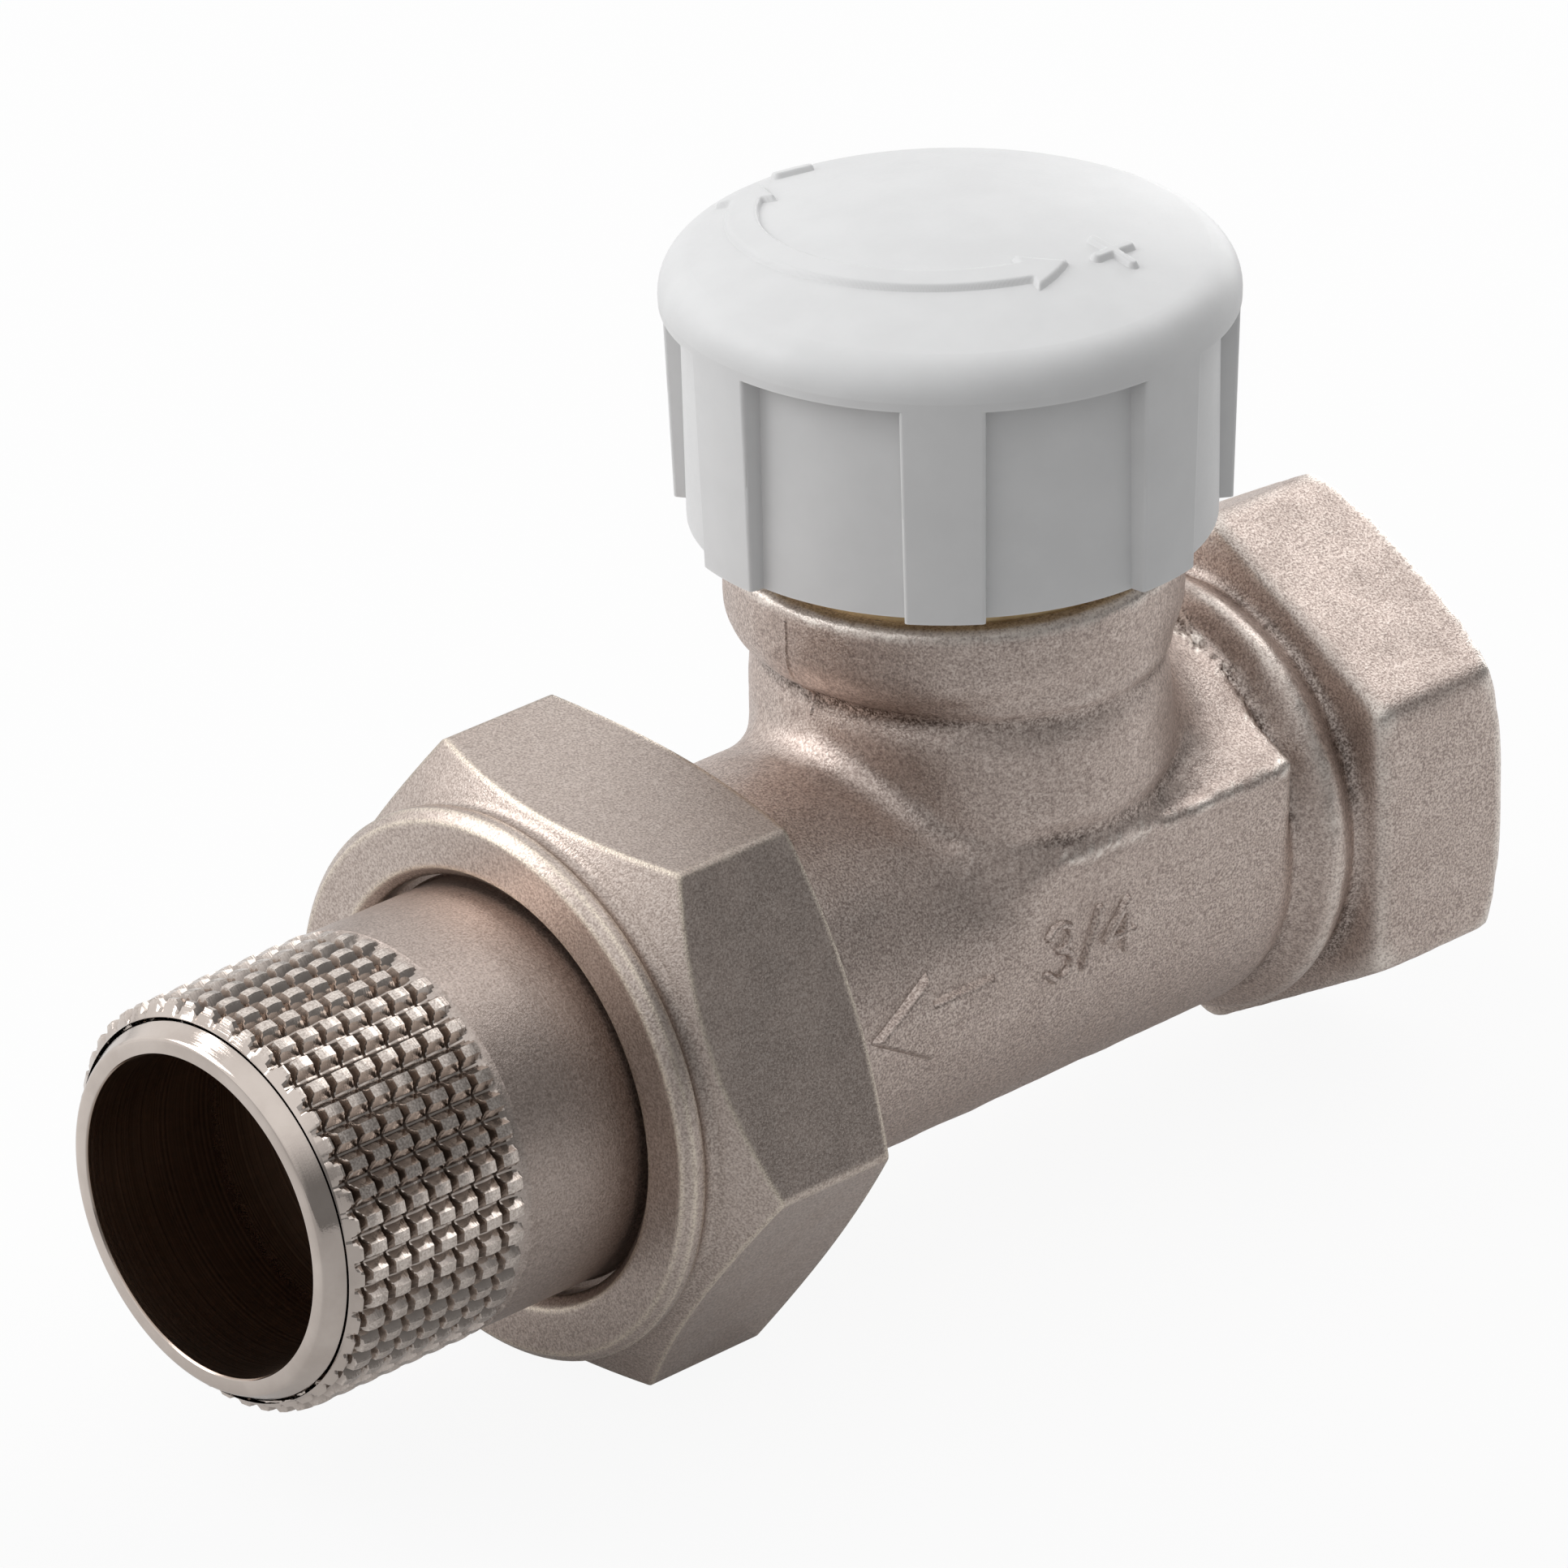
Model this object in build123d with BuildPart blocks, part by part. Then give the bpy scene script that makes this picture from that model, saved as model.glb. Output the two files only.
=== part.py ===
"""Straight radiator valve with a screwed hand cap and a union tail. Sizes are in millimetres.

The origin is the centre of the inlet socket's end face. +X leaves the socket along the pipe,
+Z follows the stem up to the hand cap, and -Y is the side that carries the flow marks.
"""
import os
from math import atan2, cos, degrees, radians, tan

from build123d import *

os.makedirs("parts", exist_ok=True)

# Layout, measured from the crossing of the pipe's axis and the stem's axis
inlet_reach = 33.8  # to the socket's end face
union_reach = 35.9  # to the body's union end face
tail_reach = 63.5  # to the tail's free end
collar_top = 24.2  # height of the machined face under the hand cap

# Clearances
running = 0.05  # radial room where one piece turns or slides in another
fitted = 0.02  # radial room where a piece is fixed in another
seal_room = 0.06  # room round a seal in its groove
nut_hole_room = 0.43  # round the tail in the nut's hole
spigot_room = 0.1  # round the tail's spigot in the body's mouth
spigot_end_room = 0.5
thread_bevel = 1.0  # lead-in at the end of a thread

# Body: forged barrel, inlet hexagon, neck and marked side pads
barrel_r = 13.46
hex_rise = 2.24  # of the inlet hexagon's flats above the barrel
hex_edge_r = 1.5  # rounding of the hexagon's long edges
hex_front_r = 1.1  # rounding of the hexagon's front edge
hex_length = 11.5
hex_face_drop = 0.2  # of the end face's flat ring inside the flats
hex_face_bevel = 1.3  # length of the bevel on the hexagon's corners
bead_rise = 1.54  # of the rounded bead in front of the hexagon, above the barrel
bead_setback = 3.1  # from the hexagon's front to the bead's crest
valley_depth = 0.75  # of the valley between bead and hexagon
valley_setback = 1.3  # from the hexagon's front to the valley
groove_depth = 0.5  # of the groove between barrel and bead
groove_setback = 1.9  # from the bead's crest to the groove
groove_width = 3.8  # from where the barrel ends to the bead's crest
neck_half_x = 12.6  # the neck is an ellipse, wider across the pipe
neck_bulge = 0.54  # of the neck's wide sides past the barrel's
neck_shift = 0.45  # of the neck's bulge towards the marked side
neck_inset = 0.16  # of the neck's root inside the barrel's side
saddle_r = 2.4  # fillet between neck and barrel
inlet_saddle_r = 4.0  # the same on the inlet side
inlet_saddle_start = 3.0
collar_lip = 0.47  # of the collar past the neck's wide sides
collar_height = 6.4  # from the collar's crease to its top face
collar_round = 2.9  # height of the rounded underside
collar_bevel = 0.45
collar_undercut = 1.0  # of the collar's rounded underside, inside the neck
pad_rise = 0.54  # of the side pads' ridges past the barrel's side
pad_top = 7.4
pad_toe = -0.6  # where the pads' flats leave the barrel
pad_left = -7.8
pad_right = 16.4
pad_edge_r = 0.7
pad_draft = 28.0  # degrees, slope of the pads' tops
pad_depth = 7.0  # of the pad's block into the barrel

# Water way
socket_r = 12.06  # inside of the socket's thread
socket_depth = 15.0
inlet_bore_r = 9.8
inlet_bore_depth = 5.8
passage_r = 6.0  # the two passages that lead under and away from the seat
passage_overrun = 1.0  # of the passages past the seat and into the chamber
outlet_rise = 3.6  # of the outlet passage above the pipe's axis
outlet_r = 10.27  # bore of the outlet and of the tail
outlet_depth = 15.5
web = 1.8  # wall between the inlet passage and the valve chamber
seat_r = 6.0
seat_top = 3.2
seat_rim = 1.2
seat_rise = 1.0
chamber_r = 10.5
bonnet_thread_r = 11.0
bonnet_thread_length = 8.2

# Union: threaded stub, nut and tail
union_thread_r = 15.85  # mean radius of the union's thread
nut_half = 18.3  # half the width across the nut's flats
nut_turned = 5.7  # degrees, how far the nut's corners are turned
nut_edge_r = 0.5
nut_length = 14.8
nut_lip = 2.2
nut_collar_r = 17.9  # round collar on the nut's front
nut_collar_length = 1.4
nut_face_bevel = 0.6
nut_cove = 0.45  # depth of the groove behind the collar
nut_cove_width = 1.5
nut_cone_drop = 0.3  # of the front bevel below the flats
nut_front_slope = 33.0  # degrees, bevel on the front corners
nut_back_slope = 21.0  # degrees, bevel on the back corners
nut_hole_bevel = 0.7
tail_thread_r = 13.22
tail_thread = 13.0  # length at full radius
tail_ridges = 8  # of the thread, modelled as rings
tail_ridge_rise = 1.1
tail_crest = 0.36  # width of a ridge's crest
tail_valley = 0.26  # width of the valley's floor between two ridges
tail_shank_r = 12.95
tail_nose_r = 11.3  # flat ring on the tail's free end
tail_nose_round = 0.3
tail_lead_r = 12.0
tail_lead = 1.9  # length of the thread's tapered start
tail_collar = 1.9
tail_collar_r = 15.0
tail_spigot_r = 12.9
tail_spigot = 4.7
tail_groove_r = 11.6
tail_groove = 1.6
tail_groove_setback = 1.5

# Bonnet and gland
bonnet_skirt = 3.5  # sealed length under the bonnet's thread
bonnet_floor = 2.5
bonnet_groove_r = 9.0
bonnet_groove = 1.6
bonnet_groove_rise = 1.0
relief_r = 13.3  # undercut between the collar and the cap's thread
relief = 1.8
cap_thread_r = 13.5  # mean radius of the cap's thread
cap_thread_length = 11.0
bonnet_tower_r = 8.4
bonnet_tower = 1.0
spring_bore_r = 5.6
gland_thread_r = 6.0
gland_thread = 5.0
gland_half = 6.5
gland_head = 3.0
gland_roof = 2.4  # metal above the seals
washer_thickness = 0.6

# Stem and disc
stem_r = 2.5
stem_end_r = 1.5  # threaded lower end
stem_tip = 0.45  # of the threaded end below the disc nut
half_lift = 1.5  # the disc stands this far above closed, half way through its lift
disc_r = 8.0
disc_thickness = 2.55
holder_plate = 1.2
holder_rim = 0.8
holder_rim_drop = 1.8
disc_washer_r = 4.6
disc_washer_thickness = 0.8
disc_nut_half = 2.75
disc_nut_thickness = 2.2
stem_room = 0.5  # over the stem when it is fully lifted
clip_setback = 0.8  # from the stem's top to the clip
clip_thickness = 0.6
clip_r = 4.2
clip_groove_r = 1.9
clip_opening = 3.2
spring_cap_r = 5.2
spring_cap_thickness = 0.8
guide_flange = 1.0
guide_r = 4.0
guide_flange_r = 5.5
spring_r = 4.0  # middle of the coil
spring_wire_r = 0.55
spring_turns = 4.5
pin_r = 1.5
pin_proud = 2.0  # of the pin over the gland nut
pin_bevel = 0.3
stem_seal_r = 0.78  # half the section of the stem's seals

# Hand cap
cap_gap = 1.95  # between the collar and the cap
skirt_r = 17.55  # outside of the ribs at the cap's lower edge
rim_r = 18.08
rib_count = 7
rib_width = 4.95  # at the cap's lower edge
rib_angle = 224.3  # degrees, direction of one rib
rib_edge_r = 0.25
panel_recess = 0.95
panel_draft = 0.6  # degrees, slope of the panels' walls for the mould
panel_setback = 0.55  # from the rim's shoulder to the panels' upper edge
shoulder_r = 2.6
dome_rise = 4.55  # from the rim's shoulder to the crown
crown = 2.2  # thickness of the dome over the boss
cap_bore_room = 0.5  # over the bonnet's thread when the cap is screwed down
cap_hollow_r = 10.5
cap_boss_r = 3.0
cap_boss = 0.4

# Section planes and axes that every piece is placed by
stem_x = -inlet_reach
stem_section = Plane(origin=(stem_x, 0, 0), x_dir=(1, 0, 0), z_dir=(0, -1, 0))  # radius, height
pipe_section = Plane(origin=(stem_x, 0, 0), x_dir=(1, 0, 0), z_dir=(0, 1, 0))  # along the pipe, radius
stem_axis = Axis((stem_x, 0, 0), (0, 0, 1))
pipe_axis = Axis((stem_x, 0, 0), (1, 0, 0))


def level(height):
    """Plane across the stem at a height above the pipe's axis."""
    return Plane(origin=(stem_x, 0, height))


def across_pipe(along):
    """Plane across the pipe, facing the inlet, with its sketch's y upwards."""
    return Plane(origin=(stem_x + along, 0, 0), x_dir=(0, 1, 0), z_dir=(1, 0, 0))


def turn_on_stem(outline, mode=Mode.ADD):
    """Turn a closed outline of (radius, height) points about the stem's axis."""
    with BuildSketch(stem_section) as profile:
        with BuildLine():
            Polyline(*outline, close=True)
        make_face()
    revolve(profile.sketch, axis=stem_axis, mode=mode)


def turn_on_pipe(outline, mode=Mode.ADD):
    """Turn a closed outline of (along the pipe, radius) points about the pipe's axis."""
    with BuildSketch(pipe_section) as profile:
        with BuildLine():
            Polyline(*outline, close=True)
        make_face()
    revolve(profile.sketch, axis=pipe_axis, mode=mode)


def ring(inner, outer, low, high):
    """Outline of a plain ring or bush."""
    return [(inner, low), (outer, low), (outer, high), (inner, high)]


def finish(piece, name):
    """Label a finished piece and write it out."""
    piece.label = name
    export_step(piece, f"parts/{name}.step")


# Places along the pipe that follow from the sizes above
hex_half = barrel_r + hex_rise
hex_front = inlet_reach - hex_length
hex_root = hex_front + hex_front_r
hex_root_r = hex_half - hex_front_r
bead_x = hex_front - bead_setback
bead_start = bead_x - groove_width
bead_r = barrel_r + bead_rise
pad_reach = barrel_r + pad_rise
neck_half_y = barrel_r + neck_bulge
collar_r = neck_half_y + collar_lip
nut_seat = -(union_reach + tail_collar)
nut_front = nut_seat - nut_lip
nut_back = nut_front + nut_length
nut_hole_r = tail_thread_r + nut_hole_room
union_mouth_r = tail_spigot_r + spigot_room
union_mouth = tail_spigot + spigot_end_room

# Places up the stem that follow from the sizes above
collar_root_r = neck_half_x - collar_undercut
seat_floor = seat_top - seat_rise
inlet_drop = passage_r + web - seat_floor
disc_bottom = seat_top + half_lift + running
disc_top = disc_bottom + disc_thickness
holder_top = disc_top + holder_plate
disc_washer_bottom = disc_bottom - disc_washer_thickness
disc_nut_bottom = disc_washer_bottom - disc_nut_thickness
bonnet_thread_bottom = collar_top - bonnet_thread_length
bonnet_bottom = bonnet_thread_bottom - bonnet_skirt
guide_seat = bonnet_bottom + bonnet_floor
spring_seat = guide_seat + guide_flange
cap_thread_bottom = collar_top + relief
cap_thread_top = cap_thread_bottom + cap_thread_length
bonnet_top = cap_thread_top + bonnet_tower
gland_floor = bonnet_top - gland_thread
gland_bottom = gland_floor + washer_thickness
gland_top = bonnet_top + gland_head
seal_roof = gland_top - gland_roof
stem_top = gland_floor - half_lift - stem_room
clip_bottom = stem_top - clip_setback - clip_thickness
spring_cap_bottom = clip_bottom - spring_cap_thickness
pin_top = gland_top + pin_proud
cap_bottom = collar_top + cap_gap
cap_bore_top = cap_thread_top + half_lift + cap_bore_room
cap_ceiling = pin_top + cap_boss
dome_top = cap_ceiling + crown
rim_top = dome_top - dome_rise
panel_top = rim_top - panel_setback

# Inlet hexagon of the body, with its corner bevel
with BuildPart() as inlet_hex:
    with BuildSketch(across_pipe(hex_front)):
        RegularPolygon(hex_half, 6, major_radius=False, rotation=30)
    extrude(amount=hex_length)
    fillet(inlet_hex.edges().filter_by(Axis.X), hex_edge_r)
    fillet(inlet_hex.faces().sort_by(Axis.X)[0].edges(), hex_front_r)
    hex_reach = hex_half / cos(radians(30))
    turn_on_pipe(
        [
            (hex_front, 0),
            (hex_front, hex_reach),
            (inlet_reach - hex_face_bevel, hex_reach),
            (inlet_reach, hex_half - hex_face_drop),
            (inlet_reach, 0),
        ],
        Mode.INTERSECT,
    )

# Side pads of the body, one on each side: a leaning flat that leaves the barrel at its toe and ends in a ridge
with BuildPart() as side_pads:
    for side in (-1, 1):
        with BuildSketch(Plane(origin=(stem_x + pad_left, 0, 0), x_dir=(0, 1, 0), z_dir=(1, 0, 0))):
            with BuildLine():
                Polyline(
                    (side * pad_reach, pad_top),
                    (side * barrel_r, pad_toe),
                    (side * (pad_reach - pad_depth), pad_toe),
                    (side * (pad_reach - pad_depth), pad_top + pad_depth * tan(radians(pad_draft))),
                    close=True,
                )
            make_face()
        extrude(amount=pad_right - pad_left)
    pad_flats = side_pads.faces().sort_by(Axis.Y)
    for flat in (pad_flats[0], pad_flats[-1]):
        fillet(flat.edges().filter_by(lambda edge: edge.center().Z > pad_toe + pad_edge_r), pad_edge_r)

# Saddle on the inlet side of the neck, with a wider fillet than the union side has
with BuildPart() as inlet_saddle:
    turn_on_pipe([(hex_root, 0), (-hex_root, 0), (-hex_root, barrel_r), (hex_root, barrel_r)])
    with BuildSketch(level(0)):
        Ellipse(neck_half_x, barrel_r - neck_inset)
    extrude(amount=collar_top - collar_bevel)
    wide_saddle = inlet_saddle.edges().filter_by(
        lambda edge: edge.geom_type not in (GeomType.LINE, GeomType.CIRCLE, GeomType.ELLIPSE)
    )
    fillet(wide_saddle, inlet_saddle_r)
    with BuildSketch(level(0)):
        with Locations(((inlet_saddle_start + hex_root) / 2, 0)):
            Rectangle(hex_root - inlet_saddle_start, 2 * barrel_r)
    extrude(amount=collar_top - collar_bevel, mode=Mode.INTERSECT)

# Valve body: one nickel-plated brass forging, bored from both ends and from the neck
with BuildPart() as valve_body:
    turn_on_pipe(
        [
            (hex_root, 0),
            (-union_reach, 0),
            (-union_reach, union_thread_r - thread_bevel),
            (-union_reach + thread_bevel, union_thread_r),
            (nut_back, union_thread_r),
            (nut_back + union_thread_r - barrel_r, barrel_r),
            (hex_root, barrel_r),
        ]
    )
    with BuildSketch(level(0)):
        Ellipse(neck_half_x, barrel_r - neck_inset)
    extrude(amount=collar_top - collar_bevel)
    saddle = valve_body.edges().filter_by(
        lambda edge: edge.geom_type not in (GeomType.LINE, GeomType.CIRCLE, GeomType.ELLIPSE)
        and abs(edge.center().X - stem_x) < neck_half_x + 1
    )
    fillet(saddle, saddle_r)
    add(inlet_saddle.part)
    # groove and bead between the barrel and the inlet hexagon
    turn_on_pipe([(bead_start, 0), (bead_start, bead_r), (hex_root, bead_r), (hex_root, 0)], Mode.SUBTRACT)
    with BuildSketch(pipe_section):
        with BuildLine():
            Polyline((hex_root, hex_root_r), (hex_root, 0), (bead_start, 0), (bead_start, barrel_r))
            Spline(
                (bead_start, barrel_r),
                (bead_x - groove_setback, barrel_r - groove_depth),
                (bead_x, bead_r),
                (hex_front - valley_setback, bead_r - valley_depth),
                (hex_root, hex_root_r),
                tangents=[(1, 0), (1, 0.5)],
            )
        make_face()
    revolve(axis=pipe_axis)
    add(side_pads.part)
    # wide part of the neck and the collar on its top
    with BuildSketch(Plane(origin=(stem_x, -neck_shift, pad_top))):
        Ellipse(neck_half_x, neck_half_y)
    extrude(amount=collar_top - collar_bevel - pad_top)
    with BuildSketch(stem_section):
        with BuildLine():
            Polyline(
                (collar_r, collar_top - collar_height + collar_round),
                (collar_r, collar_top - collar_bevel),
                (collar_r - collar_bevel, collar_top),
                (0, collar_top),
                (0, collar_top - collar_height),
                (collar_root_r, collar_top - collar_height),
            )
            EllipticalCenterArc(
                (collar_root_r, collar_top - collar_height + collar_round),
                collar_r - collar_root_r,
                collar_round,
                start_angle=270,
                arc_size=90,
            )
        make_face()
    revolve(axis=stem_axis)
    add(inlet_hex.part)
    # inlet socket and its bore
    turn_on_pipe(
        [
            (inlet_reach, 0),
            (inlet_reach, socket_r),
            (inlet_reach - socket_depth, socket_r),
            (inlet_reach - socket_depth, inlet_bore_r),
            (inlet_reach - socket_depth - inlet_bore_depth, inlet_bore_r),
            (inlet_reach - socket_depth - inlet_bore_depth, 0),
        ],
        Mode.SUBTRACT,
    )
    # low passage under the seat, closed behind it
    passage_end = -(seat_r + passage_overrun)
    with BuildSketch(across_pipe(passage_end)):
        with Locations((0, -inlet_drop)):
            Circle(passage_r)
    extrude(amount=inlet_reach - socket_depth - inlet_bore_depth - passage_end, mode=Mode.SUBTRACT)
    # seat, valve chamber and bonnet thread
    turn_on_stem(
        [
            (0, -inlet_drop),
            (seat_r, -inlet_drop),
            (seat_r, seat_top),
            (seat_r + seat_rim, seat_top),
            (seat_r + seat_rim, seat_floor),
            (chamber_r, seat_floor),
            (chamber_r, bonnet_thread_bottom),
            (bonnet_thread_r, bonnet_thread_bottom),
            (bonnet_thread_r, collar_top),
            (0, collar_top),
        ],
        Mode.SUBTRACT,
    )
    # high passage from the chamber to the outlet
    with BuildSketch(across_pipe(passage_overrun - chamber_r)):
        with Locations((0, outlet_rise)):
            Circle(passage_r)
    extrude(amount=-(union_reach - outlet_depth - chamber_r + 2 * passage_overrun), mode=Mode.SUBTRACT)
    # outlet bore and the mouth that takes the tail's spigot
    turn_on_pipe(
        [
            (-union_reach, 0),
            (-union_reach, union_mouth_r),
            (-union_reach + union_mouth, union_mouth_r),
            (-union_reach + union_mouth, outlet_r),
            (-union_reach + outlet_depth, outlet_r),
            (-union_reach + outlet_depth, 0),
        ],
        Mode.SUBTRACT,
    )
finish(valve_body.part, "valve_body")

# Union nut: brass hexagon with a round collar, whose lip holds the tail's collar
with BuildPart() as union_nut:
    with BuildSketch(across_pipe(nut_front)):
        RegularPolygon(nut_half, 6, major_radius=False, rotation=nut_turned)
    extrude(amount=nut_length)
    fillet(union_nut.edges().filter_by(Axis.X), nut_edge_r)
    nut_reach = nut_half / cos(radians(30))
    front_run = (nut_reach - nut_half + nut_cone_drop) * tan(radians(nut_front_slope))
    back_run = (nut_reach - nut_half) * tan(radians(nut_back_slope))
    collar_back = nut_front + nut_collar_length
    cone_front = collar_back + nut_cove_width
    with BuildSketch(pipe_section):
        with BuildLine():
            Polyline(
                (nut_back, 0),
                (nut_back, nut_half),
                (nut_back - back_run, nut_reach),
                (cone_front + front_run, nut_reach),
                (cone_front, nut_half - nut_cone_drop),
            )
            ThreePointArc(
                (cone_front, nut_half - nut_cone_drop),
                (collar_back + nut_cove_width / 2, nut_collar_r - nut_cove),
                (collar_back, nut_collar_r),
            )
            Polyline(
                (collar_back, nut_collar_r),
                (nut_front + nut_face_bevel, nut_collar_r),
                (nut_front, nut_collar_r - nut_face_bevel),
                (nut_front, 0),
                (nut_back, 0),
            )
        make_face()
    revolve(axis=pipe_axis, mode=Mode.INTERSECT)
    turn_on_pipe(
        [
            (nut_front, 0),
            (nut_front, nut_hole_r + nut_hole_bevel),
            (nut_front + nut_hole_bevel, nut_hole_r),
            (nut_seat, nut_hole_r),
            (nut_seat, union_thread_r + running),
            (nut_back - thread_bevel, union_thread_r + running),
            (nut_back, union_thread_r + running + thread_bevel),
            (nut_back, 0),
        ],
        Mode.SUBTRACT,
    )
finish(union_nut.part, "union_nut")

# Tail: brass tube with a pipe thread outside, as rings, a collar for the nut and a sealed spigot
with BuildPart() as tailpiece:
    spigot_end = -union_reach + tail_spigot
    groove_start = -union_reach + tail_groove_setback
    ridge_pitch = (tail_thread - tail_crest) / (tail_ridges - 1)
    ridge_flank = (ridge_pitch - tail_crest - tail_valley) / 2
    ridges = [(-tail_reach + tail_lead, tail_thread_r)]
    for ridge in range(1, tail_ridges):
        crest = -tail_reach + tail_lead + ridge * ridge_pitch
        ridges += [
            (crest - ridge_pitch + tail_crest, tail_thread_r),
            (crest - ridge_flank - tail_valley, tail_thread_r - tail_ridge_rise),
            (crest - ridge_flank, tail_thread_r - tail_ridge_rise),
            (crest, tail_thread_r),
        ]
    turn_on_pipe(
        [
            (-tail_reach, outlet_r),
            (-tail_reach, tail_nose_r),
            (-tail_reach + tail_nose_round, tail_lead_r),
            *ridges,
            (-tail_reach + tail_lead + tail_thread, tail_thread_r),
            (-tail_reach + tail_lead + tail_thread, tail_shank_r),
            (nut_seat, tail_shank_r),
            (nut_seat, tail_collar_r),
            (-union_reach, tail_collar_r),
            (-union_reach, tail_spigot_r),
            (groove_start, tail_spigot_r),
            (groove_start, tail_groove_r),
            (groove_start + tail_groove, tail_groove_r),
            (groove_start + tail_groove, tail_spigot_r),
            (spigot_end - tail_nose_round, tail_spigot_r),
            (spigot_end, tail_spigot_r - tail_nose_round),
            (spigot_end, outlet_r),
        ]
    )
finish(tailpiece.part, "tailpiece")

# Tail seal: rubber ring in the spigot's groove
with BuildPart() as tail_seal:
    tail_seal_r = (tail_spigot_r - tail_groove_r) / 2
    with BuildSketch(pipe_section):
        with Locations((groove_start + tail_groove / 2, tail_groove_r + fitted + tail_seal_r)):
            Circle(tail_seal_r)
    revolve(axis=pipe_axis)
finish(tail_seal.part, "tail_seal")

# Bonnet: turned brass insert screwed into the neck, with the cap's thread outside
with BuildPart() as bonnet:
    groove_low = bonnet_bottom + bonnet_groove_rise
    turn_on_stem(
        [
            (guide_r + fitted, bonnet_bottom),
            (chamber_r - fitted, bonnet_bottom),
            (chamber_r - fitted, groove_low),
            (bonnet_groove_r, groove_low),
            (bonnet_groove_r, groove_low + bonnet_groove),
            (chamber_r - fitted, groove_low + bonnet_groove),
            (chamber_r - fitted, bonnet_thread_bottom),
            (bonnet_thread_r - fitted, bonnet_thread_bottom),
            (bonnet_thread_r - fitted, collar_top),
            (relief_r, collar_top),
            (relief_r, cap_thread_bottom),
            (cap_thread_r, cap_thread_bottom + cap_thread_r - relief_r),
            (cap_thread_r, cap_thread_top - thread_bevel),
            (cap_thread_r - thread_bevel, cap_thread_top),
            (bonnet_tower_r, cap_thread_top),
            (bonnet_tower_r, bonnet_top),
            (gland_thread_r + fitted, bonnet_top),
            (gland_thread_r + fitted, gland_floor),
            (spring_bore_r, gland_floor),
            (spring_bore_r, guide_seat),
            (guide_r + fitted, guide_seat),
        ]
    )
finish(bonnet.part, "bonnet")

# Bonnet seal: rubber ring between the bonnet and the neck's bore
with BuildPart() as bonnet_seal:
    bonnet_seal_r = (chamber_r - bonnet_groove_r - seal_room) / 2
    with BuildSketch(stem_section):
        with Locations((bonnet_groove_r + seal_room / 2 + bonnet_seal_r, groove_low + bonnet_groove / 2)):
            Circle(bonnet_seal_r)
    revolve(axis=stem_axis)
finish(bonnet_seal.part, "bonnet_seal")

# Gland nut: small brass hexagon that holds the stem's seals in the top of the bonnet
with BuildPart() as gland_nut:
    seal_pocket_r = pin_r + running + 2 * stem_seal_r + seal_room
    with BuildSketch(level(bonnet_top)):
        RegularPolygon(gland_half, 6, major_radius=False)
    extrude(amount=gland_head)
    turn_on_stem(ring(0, gland_thread_r, gland_bottom, bonnet_top))
    turn_on_stem(
        [
            (0, gland_bottom),
            (seal_pocket_r, gland_bottom),
            (seal_pocket_r, seal_roof),
            (pin_r + running, seal_roof),
            (pin_r + running, gland_top),
            (0, gland_top),
        ],
        Mode.SUBTRACT,
    )
finish(gland_nut.part, "gland_nut")

# Gland washer: steel disc clamped under the gland nut, which keeps the seals in
with BuildPart() as gland_washer:
    turn_on_stem(ring(pin_r + running, gland_thread_r, gland_floor, gland_bottom))
finish(gland_washer.part, "gland_washer")

# Stem seals and the spacer between them, in the gland nut's pocket
pocket_room = seal_roof - gland_bottom
spacer_height = pocket_room - 4 * stem_seal_r - 2 * seal_room
seal_heights = {
    "lower_stem_seal": gland_bottom + seal_room / 2 + stem_seal_r,
    "upper_stem_seal": seal_roof - seal_room / 2 - stem_seal_r,
}
for seal_name, seal_height in seal_heights.items():
    with BuildPart() as stem_seal:
        with BuildSketch(stem_section):
            with Locations((pin_r + running + stem_seal_r, seal_height)):
                Circle(stem_seal_r)
        revolve(axis=stem_axis)
    finish(stem_seal.part, seal_name)

with BuildPart() as seal_spacer:
    spacer_low = seal_heights["lower_stem_seal"] + stem_seal_r + seal_room / 2
    turn_on_stem(ring(pin_r + running, seal_pocket_r - fitted, spacer_low, spacer_low + spacer_height))
finish(seal_spacer.part, "seal_spacer")

# Stem guide: flanged plastic bush in the bonnet's floor, which also carries the spring
with BuildPart() as stem_guide:
    turn_on_stem(
        [
            (stem_r + running, bonnet_bottom),
            (guide_r, bonnet_bottom),
            (guide_r, guide_seat),
            (guide_flange_r, guide_seat),
            (guide_flange_r, spring_seat),
            (stem_r + running, spring_seat),
        ]
    )
finish(stem_guide.part, "stem_guide")

# Return spring: steel coil that lifts the stem against the cap
with BuildPart() as return_spring:
    coil_height = spring_cap_bottom - spring_seat - 2 * spring_wire_r
    with BuildLine() as coil:
        Helix(
            pitch=coil_height / spring_turns,
            height=coil_height,
            radius=spring_r,
            center=(stem_x, 0, spring_seat + spring_wire_r),
        )
    with BuildSketch(Plane(origin=coil.line @ 0, z_dir=coil.line % 0)):
        Circle(spring_wire_r)
    sweep(path=coil.line, is_frenet=True)
finish(return_spring.part, "return_spring")

# Valve stem: steel rod with a threaded lower end and a groove for its clip
with BuildPart() as valve_stem:
    turn_on_stem(
        [
            (0, disc_nut_bottom - stem_tip),
            (stem_end_r, disc_nut_bottom - stem_tip),
            (stem_end_r, holder_top),
            (stem_r, holder_top),
            (stem_r, clip_bottom),
            (clip_groove_r, clip_bottom),
            (clip_groove_r, clip_bottom + clip_thickness),
            (stem_r, clip_bottom + clip_thickness),
            (stem_r, stem_top),
            (0, stem_top),
        ]
    )
finish(valve_stem.part, "valve_stem")

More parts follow.
